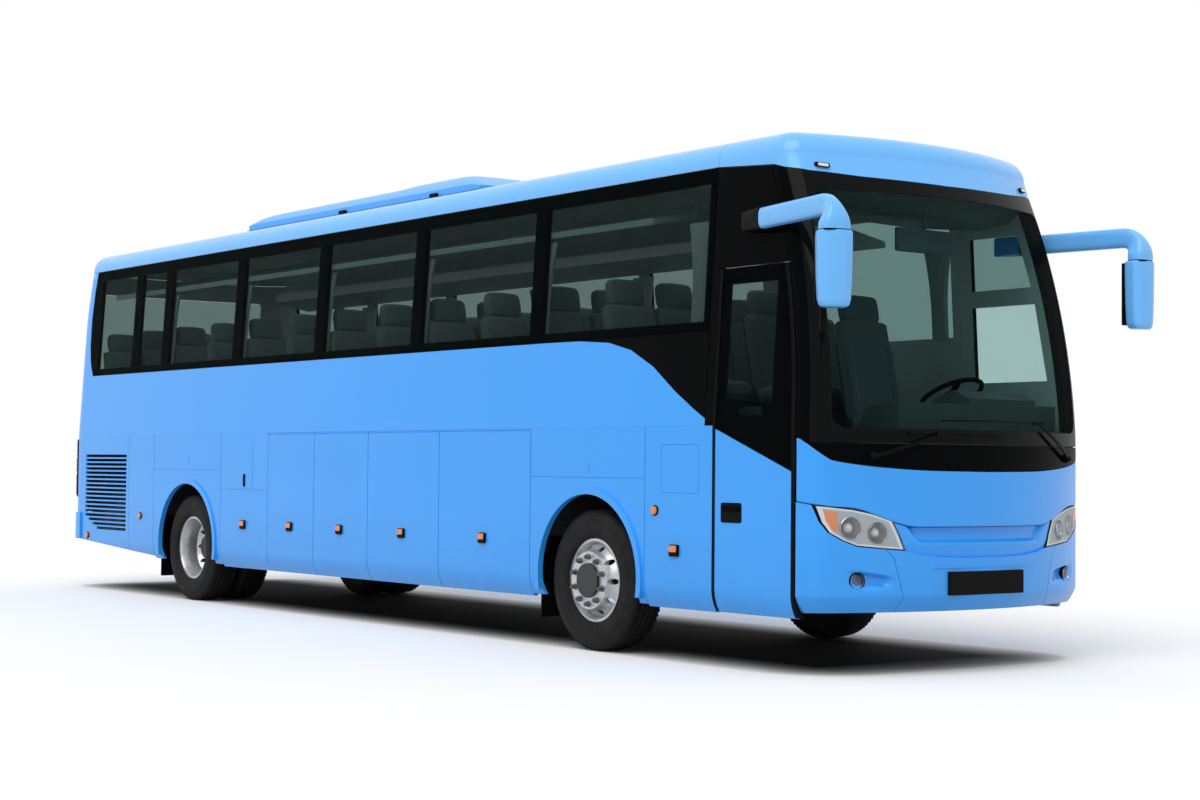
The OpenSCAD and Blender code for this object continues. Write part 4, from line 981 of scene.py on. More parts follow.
def closed_sheet(outer: list[list[Vector]], inner: list[list[Vector]]) -> Shape:
    """Closes two grids of the same size into one thick sheet."""
    rows, cols = len(outer), len(outer[0])
    verts = [p for grid in (outer, inner) for row in grid for p in row]
    size = rows * cols
    rim = ([c for c in range(cols)] + [r * cols + cols - 1 for r in range(1, rows)]
           + [(rows - 1) * cols + c for c in range(cols - 2, -1, -1)] + [r * cols for r in range(rows - 2, 0, -1)])
    ring = [[rim[i], rim[(i + 1) % len(rim)], size + rim[(i + 1) % len(rim)], size + rim[i]] for i in range(len(rim))]
    return verts, grid_faces(rows, cols) + grid_faces(rows, cols, size) + ring


def skin(end: End, us: Sequence[float], low: HeightOf, high: HeightOf, rows: int,
         outer: float | Callable[[float, float], float], inner: float, far: float | None = None) -> Shape:
    """Thick sheet on an end of the body between two lines.

    Args:
        end: Front or rear.
        us: Places across the end.
        low: Height of the lower line by u.
        high: Height of the upper line by u.
        rows: Rows of faces.
        outer: Offset of the outer face, or a function of u and z.
        inner: Offset of the inner face.
        far: X where the straight stretch ends.

    Returns:
        Points and faces.
    """
    def layer(off: float | Callable[[float, float], float]) -> list[list[Vector]]:
        """One face of the sheet as rows of points."""
        made = []
        for r in range(rows + 1):
            zs = [low(u) + (high(u) - low(u)) * r / rows for u in us]
            made.append([FORM.point(end, u, z, off(u, z) if callable(off) else off, far) for u, z in zip(us, zs)])
        return made
    return closed_sheet(layer(outer), layer(inner))


def patch(outline: Sequence[Point2], place: Callable[[float, float, float], Vector], outer: float, inner: float,
          cell: float = 0.02) -> Shape:
    """Thick piece of a curved surface inside an outline.

    Args:
        outline: Corners in the surface's two flat coordinates.
        place: Gives the point in space from the two coordinates and an offset.
        outer: Offset of the outer face.
        inner: Offset of the inner face.
        cell: Spacing of the points inside.

    Returns:
        Points and faces.
    """
    edge: list[Point2] = []
    for (a0, b0), (a1, b1) in zip(outline, [*outline[1:], outline[0]]):
        steps = max(1, round(math.hypot(a1 - a0, b1 - b0) / cell))
        edge += [(a0 + (a1 - a0) * i / steps, b0 + (b1 - b0) * i / steps) for i in range(steps)]
    los = [min(p[i] for p in edge) for i in (0, 1)]
    his = [max(p[i] for p in edge) for i in (0, 1)]
    inside = [Vector((a, b)) for a in spread(los[0], his[0], max(1, round((his[0] - los[0]) / cell)))
              for b in spread(los[1], his[1], max(1, round((his[1] - los[1]) / cell)))]
    count = len(edge)
    flat, _, tris, *_ = delaunay_2d_cdt([Vector(p) for p in edge] + inside, [], [list(range(count))], 1, 1e-5)
    size = len(flat)
    verts = [place(p.x, p.y, off) for off in (outer, inner) for p in flat]
    borders: dict[tuple[int, int], int] = {}
    for tri in tris:
        for a, b in zip(tri, [*tri[1:], tri[0]]):
            borders[(a, b)] = borders.get((a, b), 0) + 1
    rim = [[a, b, b + size, a + size] for a, b in borders if (b, a) not in borders]
    faces = [list(t) for t in tris] + [[i + size for i in reversed(t)] for t in tris] + rim
    return verts, faces


def rounded_outline(corners: Sequence[Point2], radius: float, steps: int = 5) -> list[Point2]:
    """An outline with its corners rounded by short curves."""
    made: list[Point2] = []
    n = len(corners)
    for i in range(n):
        before, here, after = (Vector(corners[(i + k) % n]) for k in (-1, 0, 1))
        reach = min(radius, (before - here).length * 0.45, (after - here).length * 0.45)
        a = here + (before - here).normalized() * reach
        b = here + (after - here).normalized() * reach
        made += [tuple(a.lerp(here, t).lerp(here.lerp(b, t), t)) for t in spread(0, 1, steps)]
    return made


def rounded_box(x0: float, x1: float, z0: float, z1: float, radius: float) -> list[Point2]:
    """Outline of a rectangle with rounded corners."""
    return rounded_outline([(x0, z0), (x1, z0), (x1, z1), (x0, z1)], radius)


def flipped(points: Iterable[Point2], sign: int) -> list[Point2]:
    """A Y-Z outline as it is, or mirrored to the other side by a sign of -1."""
    return [(sign * y, z) for y, z in points]


def add_piece(name: str, shape: Shape, finish: Finish, body: str = BODY,
              stands_for: Sequence[str] = (), edge: float = 0.0, angle: float = 35.0,
              holes: Sequence[bpy.types.Mesh] = ()) -> bpy.types.Object:
    """Makes one piece from points and faces, rounds its edges, cuts its holes and settles it."""
    piece = new_object(name, solid_mesh(name, *shape))
    if edge > 0:
        round_edges(piece, edge, 2, 40.0)
    cut_away(piece, holes)
    return settle(piece, [finish], body, stands_for, angle)


def soft_step(share: float) -> float:
    """Eases from 0 to 1 as a share goes from 0 to 1."""
    t = min(1.0, max(0.0, share))
    return t * t * (3 - 2 * t)


def bow_share(y: float) -> float:
    """Place across the front's bow at a Y, at the height of the lamps."""
    bow, corner = FORM.plan(End.FRONT)
    return math.asin(y / bow) / math.asin((FORM.half - corner) / (bow - corner))


def mark_inside(mesh: bpy.types.Mesh) -> None:
    """Gives the faces of a shell that look into the cabin the mesh's second material."""
    for face in mesh.polygons:
        c = face.center
        heart = Vector((min(max(c.x, -5.0), 4.3), 0, min(c.z, 3.0)))
        face.material_index = 1 if face.normal.dot(heart - c) > 0.2 * (heart - c).length else 0


@dataclass
class FrontEnd:
    """Painted front, black base, windscreen and corner pillars as smooth skins."""

    seam: float = 0.0025
    panel: float = 0.030
    wall: float = 0.045
    glass: float = 0.010
    chin: float = 0.410
    crease: float = 0.512
    scoop_depth: float = 0.042
    screen_low: float = 1.480
    screen_u: float = 1.6
    plate_half: Point2 = (0.345, 0.076)
    plate_z: float = 0.588
    groove: float = 0.0022
    seam_line: tuple = ((0.812, 0.819), (0.747, 0.754), (0.682, 0.508), (0.711, 0.400))

    def build(self) -> None:
        """Builds the front from the bumper up."""
        self.bumper()
        self.recess()
        self.plate()
        self.bonnet()
        self.screen()
        self.pillars()

    def through(self, outline: Sequence[Point2]) -> bpy.types.Mesh:
        """Cutter with a Y-Z outline that goes through the front."""
        return prism_x("cutter", outline, FORM.front - 0.7, FORM.front + 0.1)

    def bumper(self) -> None:
        """Bumper with its lower lip, scoops, openings for the lamps and the recess, and two seams."""
        us = sorted([*FRONT_US, *[(a + b) / 2 for a, b in zip(FRONT_US, FRONT_US[1:])]])
        shape = skin(End.FRONT, us, lambda u: self.chin,
                     lambda u: smooth_at(FORM.bonnet_line, abs(u)) - self.seam, 54, self.relief, -self.panel - 0.045)
        piece = new_object("front_bumper_skin", solid_mesh("front_bumper_skin", *shape))
        strip = ([(y + self.groove, z) for y, z in self.seam_line]
                 + [(y - self.groove, z) for y, z in reversed(self.seam_line)])
        cutters = [self.through(RECESS_LINE)]
        for sign in (-1, 1):
            cutters += [self.through(flipped(line, sign)) for line in (Headlamps.outline, strip)]
        cut_away(piece, cutters)
        round_edges(piece, 0.004, 2, 45.0)
        settle(piece, [BLUE], BODY, ["front_bumper"], 40.0)

    def relief(self, u: float, z: float) -> float:
        """How far the bumper's face lies in: the lip under its crease, and the scoops at the fog lamps."""
        y = abs(FORM.point(End.FRONT, u, z).y)
        lip = 0.30 * max(0.0, self.crease - z)
        top, low = 0.651 + 0.185 * (y - 0.830), 0.545
        rise = (z - low) / (top - low)
        across = soft_step((y - 0.745) / 0.07) * soft_step((1.10 - y) / 0.22)
        return -lip - self.scoop_depth * across * soft_step(rise / 0.6) * soft_step((1 - rise) / 0.2)

    def recess(self) -> None:
        """Blue panel sunk between the headlamps, with a crease across it and ends that rise."""
        us = [bow_share(y) for y in spread(-0.745, 0.745, 74)]

        def depth(u: float, z: float) -> float:
            """Depth of the recess: a slope below the crease and a hollow above it."""
            y = abs(FORM.point(End.FRONT, u, z).y)
            ends = soft_step((0.58 + 0.85 * max(0.0, z - 0.855) - y) / 0.05)
            slope = 0.016 * min(1.0, max(0.0, (0.845 - z) / 0.095))
            return -0.010 - slope - 0.034 * ends * soft_step((z - 0.840) / 0.032)
        shape = skin(End.FRONT, us, lambda u: 0.728, lambda u: smooth_at(FORM.bonnet_line, abs(u)) - self.seam, 36,
                     depth, -0.066)
        piece = new_object("front_recess", solid_mesh("front_recess", *shape))
        cut_away(piece, [self.through(flipped(Headlamps.outline, sign)) for sign in (-1, 1)])
        settle(piece, [BLUE], BODY, [], 40.0)

    def plate(self) -> None:
        """Blank plate and the ledge above it."""
        at = Matrix.Translation((FORM.front - 0.009, 0, self.plate_z))
        add_piece("blank_plate", placed(padded_box(Vector((0.015, *self.plate_half)), 0.004), at), PLATE)
        ledge = patch(rounded_outline([(-0.46, 0.688), (0.46, 0.688), (0.43, 0.698), (-0.43, 0.698)], 0.004),
                      FORM.at_front, 0.006, -0.004)
        add_piece("plate_ledge", ledge, BLUE, edge=0.0015)

    def bonnet(self) -> None:
        """Painted panel under the windscreen and the black base above it."""
        shape = skin(End.FRONT, FRONT_US, lambda u: smooth_at(FORM.bonnet_line, abs(u)) + self.seam,
                     lambda u: smooth_at(FORM.dark_line, abs(u)) - self.seam, 14, 0.0, -self.panel)
        add_piece("front_panel_skin", shape, BLUE, stands_for=["front_panel"], edge=0.008)
        us = [u for u in FRONT_US if abs(u) < self.screen_u] + [-self.screen_u, self.screen_u]
        base = skin(End.FRONT, sorted(us), lambda u: smooth_at(FORM.dark_line, abs(u)) + self.seam,
                    lambda u: self.screen_low - self.seam, 6, 0.0, -self.panel)
        add_piece("screen_base_skin", base, BLACK, stands_for=["screen_base"], edge=0.003)

    def screen(self) -> None:
        """Windscreen with its black printed border."""
        us = sorted([u for u in FRONT_US if abs(u) < self.screen_u] + [-self.screen_u, self.screen_u])
        us = sorted(set(us + [(a + b) / 2 for a, b in zip(us, us[1:])]))
        shape = skin(End.FRONT, us, lambda u: self.screen_low + self.seam,
                     lambda u: smooth_at(FORM.cap_line, abs(u)) - self.seam, 64, 0.0, -self.glass)
        mesh = solid_mesh("windscreen_skin", *shape)
        border = mesh.attributes.new("border", "FLOAT", "POINT")
        border.data.foreach_set("value", [self.inside(v.co) for v in mesh.vertices])
        piece = new_object("windscreen_skin", mesh)
        settle(piece, [SCREEN_GLASS], BODY, ["windscreen"], 50.0)

    def inside(self, p: Vector) -> float:
        """Distance inside the windscreen's clear field, negative on the border."""
        half = 1.150 - max(0.0, p.z - 1.6) * 0.035
        top, low, radius = 3.118, 1.572, 0.09
        y, z = abs(p.y) - (half - radius), abs(p.z - (top + low) / 2) - ((top - low) / 2 - radius)
        outside = math.hypot(max(y, 0.0), max(z, 0.0)) + min(max(y, z), 0.0)
        return radius - outside

    def pillars(self) -> None:
        """Black corner pillars beside the windscreen and the panel above the door."""
        us = [self.screen_u + 0.012, *spread(1.67, 2, 7), 3.0]
        shapes = []
        for s in (-1, 1):
            shapes.append(skin(End.FRONT, [s * u for u in us], lambda u: smooth_at(FORM.dark_line, abs(u)) + self.seam,
                               lambda u: smooth_at(FORM.cap_line, min(2.0, abs(u))) - self.seam, 26, 0.0, -self.wall))
        foot, back = EntryDoor.top, FORM.band_front
        outline = [*[(FORM.jamb(z) - 0.004, z) for z in spread(foot, 3.286, 8)], (back + 0.004, 3.326),
                   (back + 0.004, foot)]
        x0, x1, low = back + 0.002, FORM.door_rear - 0.007, FORM.waist + 0.002
        corners = [(x0, low), (x1, low), (x1, foot), (x0, foot)]
        for line in (outline, corners):
            shapes.append(patch(line, lambda x, z, off: FORM.at_side(Side.RIGHT, x, z, off), 0.0, -self.wall, 0.08))
        add_piece("front_pillars_skin", joined(shapes), BLACK, stands_for=["front_pillars"],
                  edge=0.003)


RECESS_HALF = ((0.758, 1.000), (0.712, 0.900), (0.662, 0.800), (0.550, 0.774), (0.400, 0.758), (0.200, 0.750))
RECESS_LINE = [*RECESS_HALF, *[(-y, z) for y, z in reversed(RECESS_HALF)]]


@dataclass
class Headlamps:
    """Two headlamps and two fog lamps."""

    outline = ((1.249, 1.092), (1.024, 1.067), (0.880, 1.036), (0.748, 0.990), (0.700, 0.900), (0.657, 0.799),
               (0.814, 0.811), (0.991, 0.827), (1.084, 0.862), (1.175, 0.915), (1.219, 0.983))
    beams: tuple = ((1.035, 0.945, 0.064), (0.862, 0.915, 0.059))
    indicator: tuple = ((1.196, 1.056), (1.116, 1.044), (1.112, 0.920), (1.150, 0.936), (1.182, 0.990))
    fog: Point2 = (0.985, 0.610)
    aim: float = 0.35
    bowl: float = 0.050

    def build(self) -> None:
        """Builds the lamps of both sides."""
        for side in Side:
            self.headlamp(side)
            self.fog_lamp(side)

    def shrunk(self, by: float) -> list[Point2]:
        """The lamp's outline drawn in towards its middle."""
        cy, cz = 0.955, 0.940
        return [(cy + (y - cy) * (1 - by), cz + (z - cz) * (1 - by)) for y, z in self.outline]

    def headlamp(self, side: Side) -> None:
        """One headlamp: gasket, pale rim, housing, reflectors, bulbs, indicator and cover."""
        s, tag = side.value, side.word
        axis = Vector((1, s * self.aim, 0)).normalized()
        spots = [(FORM.at_front(s * y, z, -0.004), r) for y, z, r in self.beams]
        for name, by, outer, inner, finish, slot in (("gasket", 0.012, -0.006, -0.070, SEAL, "rubber_black"),
                                                     ("rim", 0.075, -0.0045, -0.030, LAMP_RIM, "lamp_lens"),
                                                     ("housing", 0.170, -0.0035, -0.028, BEZEL, "lamp_lens")):
            add_piece(f"lamp_{name}_{tag}", patch(flipped(self.shrunk(by), s), FORM.at_front, outer, inner), finish,
                      holes=[self.bore(spot, axis, r) for spot, r in spots])
        add_piece(f"lamp_indicator_{tag}", patch(flipped(self.indicator, s), FORM.at_front, -0.001, -0.02), AMBER,
                  edge=0.004)
        bowls = [self.dish(spot, axis, r, self.bowl) for spot, r in spots]
        bulbs = [self.dome(spot - axis * 0.046, axis, r * 0.52, 0.040) for spot, r in spots]
        add_piece(f"lamp_reflectors_{tag}", joined(bowls), DARKENED_CHROME, angle=50.0)
        add_piece(f"lamp_bulbs_{tag}", joined(bulbs), WHITE_LENS, angle=50.0)
        add_piece(f"lamp_cover_{tag}", patch(flipped(self.shrunk(0.045), s), FORM.at_front, 0.004, 0.0015),
                  CLEAR_LENS, stands_for=["lamps"], edge=0.001)

    def bore(self, centre: Vector, axis: Vector, radius: float) -> bpy.types.Mesh:
        """Round cutter that opens a lamp for one reflector."""
        path = [centre + axis * 0.040, centre - axis * 0.056]
        return solid_mesh("bore", *swept(path, lambda f: (radius * 1.08, radius * 1.08), Vector((0, 0, 1)), 2.0, 40))

    def dish(self, centre: Vector, axis: Vector, radius: float, depth: float) -> Shape:
        """Hollow reflector with a raised rim, open along its axis."""
        rings = [(1.14, -1.0), (1.14, 0.006), (1.06, 0.010), (1.0, 0.006), (0.9, -0.15), (0.7, -0.55), (0.4, -0.85),
                 (0.12, -0.95)]
        place = Matrix.Translation(centre) @ axis.to_track_quat("Z", "Y").to_matrix().to_4x4()
        sides = 40
        verts = [place @ Vector((radius * k * math.cos(t), radius * k * math.sin(t), h if h > 0 else h * depth))
                 for k, h in rings for t in spread(0, 2 * math.pi, sides)[:-1]]
        return verts, tube_faces(len(rings), sides)

    @staticmethod
    def dome(centre: Vector, axis: Vector, radius: float, height: float) -> Shape:
        """Bulging lens along an axis."""
        place = Matrix.Translation(centre) @ axis.to_track_quat("Z", "Y").to_matrix().to_4x4()
        sides, rings = 28, 6
        verts = [place @ Vector((radius * math.cos(a) * math.cos(t), radius * math.cos(a) * math.sin(t),
                                 height * math.sin(a)))
                 for a in spread(0, math.pi / 2 * 0.96, rings) for t in spread(0, 2 * math.pi, sides)[:-1]]
        return verts, tube_faces(rings + 1, sides)

    def fog_lamp(self, side: Side) -> None:
        """Round fog lamp at the end of the bumper's scoop: black ring, plated bezel and dark lens."""
        s, tag = side.value, side.word
        axis = Vector((1, s * 0.3, 0)).normalized()
        centre = FORM.at_front(s * self.fog[0], self.fog[1], -0.012)
        add_piece(f"fog_ring_{tag}", self.dish(centre - axis * 0.004, axis, 0.050, 0.045), SEAL,
                  angle=50.0)
        add_piece(f"fog_bezel_{tag}", self.dish(centre, axis, 0.044, 0.045), DARKENED_CHROME, angle=50.0)
        add_piece(f"fog_lens_{tag}", self.dome(centre - axis * 0.008, axis, 0.042, 0.014), FOG_LENS,
                  angle=60.0)


@dataclass
class RoofShell:
    """Roof, its two caps, the roof lamps and the air conditioner."""

    thick: float = 0.035
    edge_lift: float = 0.020
    turns: int = 10
    shares: tuple = (0.2, 0.4, 0.6, 0.8, 1.0)
    rear_cap: float = 0.760
    seam: float = 0.003
    brackets: Point2 = (0.690, -0.805)

    def build(self) -> None:
        """Builds the roof from front to rear."""
        self.panel()
        self.cap(End.FRONT, "roof_front_cap", FRONT_US, FORM.band_front)
        self.cap(End.REAR, "roof_rear_cap", REAR_US, FORM.rear + self.rear_cap)
        self.lamps()
        self.cooler()

    @property
    def edge_middle(self) -> float:
        """Y of the roof edge's centre of curvature."""
        return FORM.half_at(FORM.gutter) - FORM.roof_edge

    @property
    def crown_middle(self) -> float:
        """Z of the crown's centre of curvature."""
        start = FORM.gutter + self.edge_lift
        return start - math.sqrt((FORM.crown_radius - FORM.roof_edge) ** 2 - self.edge_middle ** 2)

    @property
    def edge_turn(self) -> float:
        """Angle over which the edge bends into the crown."""
        return math.pi / 2 - math.asin(self.edge_middle / (FORM.crown_radius - FORM.roof_edge))

    def edge(self, off: float, turn: float) -> Point2:
        """Y and Z on the roof's edge."""
        r = FORM.roof_edge + off
        return self.edge_middle + r * math.cos(turn), FORM.gutter + self.edge_lift + r * math.sin(turn)

    def section(self, off: float) -> list[Point2]:
        """Half of the roof's section from the gutter to the middle."""
        turns = spread(0, self.edge_turn, self.turns)
        start = self.edge(off, self.edge_turn)[0]
        crown = [start * (1 - f) for f in self.shares]
        return ([(FORM.half_at(FORM.gutter) + off, FORM.gutter + 0.002)] + [self.edge(off, t) for t in turns]
                + [(y, self.crown_middle + math.sqrt((FORM.crown_radius + off) ** 2 - y * y)) for y in crown])

    def panel(self) -> None:
        """Long roof panel between the caps."""
        x0, x1 = FORM.rear + self.rear_cap + self.seam, FORM.band_front - self.seam
        grids = []
        for off in (0.0, -self.thick):
            half = self.section(off)
            line = half + [(-y, z) for y, z in reversed(half[:-1])]
            grids.append([[Vector((x, y, z)) for y, z in line] for x in (x0, x1)])
        self.line("roof_panel", closed_sheet(*grids), 40.0)

    def cap(self, end: End, node: str, us: Sequence[float], joint: float) -> None:
        """One roof cap: rim, rounded edge and crown closing to the joint with the roof."""
        e = end.value

        def rim(u: float, z: float, off: float) -> Vector:
            """Point on the body's outline."""
            return FORM.point(end, u, z, off, e * joint)

        def layer(off: float) -> list[list[Vector]]:
            """Rows of the cap from its rim to the crown."""
            rows = [[rim(u, (smooth_at(FORM.cap_line, abs(u)) if end is End.FRONT else FORM.gutter) + 0.002, off)
                     for u in us]]
            for t in spread(0, self.edge_turn, self.turns):
                inward = -(FORM.roof_edge - (FORM.roof_edge + off) * math.cos(t))
                lift = FORM.gutter + self.edge_lift + (FORM.roof_edge + off) * math.sin(t)
                rows.append([Vector((p.x, p.y, lift)) for p in (rim(u, FORM.gutter, inward) for u in us)])
            top = rows[-1]
            start = self.edge_middle + (FORM.roof_edge + off) * math.cos(self.edge_turn)
            for f in self.shares[:-1] + (0.985,):
                y = (1 - f) * start
                z = self.crown_middle + math.sqrt((FORM.crown_radius + off) ** 2 - y * y)
                rows.append([Vector((p.x + f * (joint - p.x), p.y * (1 - f), z)) for p in top])
            return rows
        self.line(node, closed_sheet(layer(0.0), layer(-self.thick)), 55.0)

    def line(self, node: str, shape: Shape, angle: float) -> None:
        """Makes a roof piece that is blue outside and lined inside."""
        piece = new_object(node + "_skin", solid_mesh(node + "_skin", *shape))
        for finish in (LIT_BLUE, LINING):
            piece.data.materials.append(finish.material())
        mark_inside(piece.data)
        round_edges(piece, 0.003, 2, angle)
        settle(piece, [LIT_BLUE, LINING], BODY, [node], 45.0)

    def cooler(self) -> None:
        """Air conditioner as a smooth pod on a black gasket, with two brackets at its side."""
        low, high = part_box("ac_unit")
        rear, front, w = low.x, high.x, high.y
        along = ((rear, 3.590), (rear + 0.08, 3.645), (rear + 0.30, 3.690), (front - 1.50, 3.700),
                 (front - 1.25, 3.738), (front - 0.90, 3.748), (front - 0.60, 3.735), (front - 0.25, 3.650),
                 (front, 3.570))
        across = ((0.0, 3.780), (w - 0.42, 3.750), (w - 0.26, 3.720), (w - 0.11, 3.660), (w, 3.585))

        def roof(y: float) -> float:
            """Height of the roof's crown at a Y."""
            return self.crown_middle + math.sqrt(FORM.crown_radius ** 2 - y * y)

        def top(x: float, y: float) -> float:
            """Height of the pod, blended between its long and its cross profile."""
            base, k, clear = 3.6, 60.0, 0.004
            a, b = smooth_at(along, x) - base, smooth_at(across, abs(y)) - base
            return max(roof(y), base - math.log(math.exp(-k * a) + math.exp(-k * b)) / k) + clear
        xs = spread(rear, front, 90)
        ys = spread(-w, w, 44)
        pod = closed_sheet([[Vector((x, y, top(x, y))) for y in ys] for x in xs],
                           [[Vector((x, y, roof(y) - 0.010)) for y in ys] for x in xs])
        add_piece("ac_unit_skin", pod, LIT_POD_BLUE, stands_for=["ac_unit"], edge=0.006)
        wide = 0.012
        base = [[Vector((x, y, 0)) for y in spread(-w - wide, w + wide, 30)] for x in (rear - wide, front + wide)]
        gasket = closed_sheet(*[[[Vector((p.x, p.y, roof(p.y) + lift)) for p in row] for row in base]
                                for lift in (0.012, -0.010)])
        add_piece("ac_gasket", gasket, SEAL)
        box = padded_box(Vector((0.050, 0.022, 0.026)), 0.008)
        brackets = [placed(box, Matrix.Translation((x, s * (w + 0.008), roof(w) + 0.014)))
                    for x in self.brackets for s in (-1, 1)]
        add_piece("ac_brackets", joined(brackets), FRAME_BLACK)

    def lamps(self) -> None:
        """Two small clear lamps on the front edge of the roof."""
        base = ((0.915, 3.262), (1.005, 3.270), (1.000, 3.300), (0.910, 3.294))
        lens = ((0.928066, 3.268), (0.991874, 3.274), (0.987886, 3.294), (0.924078, 3.289))
        for side in Side:
            for name, line, radius, outer, inner, finish, slot, edge in (
                    ("base", base, 0.010, 0.020, 0.002, FRAME_BLACK, "black_trim", 0.002),
                    ("lens", lens, 0.008, 0.026, 0.012, WHITE_LENS, "lamp_lens", 0.003)):
                outline = rounded_outline(flipped(line, side.value), radius)
                add_piece(f"roof_lamp_{name}_{side.word}", patch(outline, FORM.at_front, outer, inner), finish,
                          edge=edge)


@dataclass
class RearEnd:
    """Rear panel, window, engine door, bumper and tail lamps."""

    panel: float = 0.030
    engine_low: float = 0.810
    engine_top: float = 1.790
    engine_half: float = 0.850
    lamp_z: Point2 = (0.950, 1.560)
    bumper_low: float = 0.510

    def build(self) -> None:
        """Builds the rear from the window down."""
        shape = skin(End.REAR, REAR_US, lambda u: self.engine_low - 0.018, lambda u: FORM.gutter - 0.003, 40, 0.0,
                     -self.panel)
        piece = new_object("rear_panel_skin", solid_mesh("rear_panel_skin", *shape))
        x0, x1 = FORM.rear - 0.05, FORM.rear + 0.3
        window = rounded_box(-0.96, 0.96, 2.240, 3.130, 0.05)
        cut_away(piece, [block_mesh("door", (x0, -self.engine_half, 0.0), (x1, self.engine_half, self.engine_top)),
                         prism_x("window", window, x0, x1 + 0.1)])
        for finish in (BLUE, LINING):
            piece.data.materials.append(finish.material())
        mark_inside(piece.data)
        round_edges(piece, 0.004, 2, 45.0)
        settle(piece, [BLUE, LINING], BODY, ["rear_panel"], 40.0)
        pane = patch(rounded_box(-0.957, 0.957, 2.243, 3.127, 0.05),
                     lambda y, z, off: FORM.at_end(End.REAR, y, z, off), -0.001, -0.008, 0.06)
        add_piece("rear_window_skin", pane, SIDE_GLASS, stands_for=["rear_window"])
        bumper = skin(End.REAR, REAR_US, lambda u: self.bumper_low, lambda u: self.engine_low - 0.0215, 14,
                      FORM.bumper_out, -self.panel)
        add_piece("rear_bumper_skin", bumper, BLUE, stands_for=["rear_bumper"], edge=0.006)
        dress_node("engine_door", BLUE, 0.003, 40.0)
        for side in Side:
            self.tail_lamp(side)

    def tail_lamp(self, side: Side) -> None:
        """Tall lamp cluster on a rear corner with a black bezel and three lenses."""
        us = [side.value * u for u in spread(1.0, 1.8, 12)]
        low, high = self.lamp_z
        base = skin(End.REAR, us, lambda u: low, lambda u: high, 4, 0.010, 0.0005)
        add_piece(f"tail_lamp_base_{side.word}", base, FRAME_BLACK, edge=0.004)
        inner = [side.value * u for u in spread(1.05, 1.75, 12)]
        cells = ((0.03, 0.40, RED), (0.42, 0.68, AMBER), (0.70, 0.97, WHITE_LENS))
        for number, (a, b, finish) in enumerate(cells):
            span = high - low
            shape = skin(End.REAR, inner, lambda u: low + a * span, lambda u: low + b * span, 4, 0.018, 0.006)
            add_piece(f"tail_lens_{side.word}_{number}", shape, finish, edge=0.005)


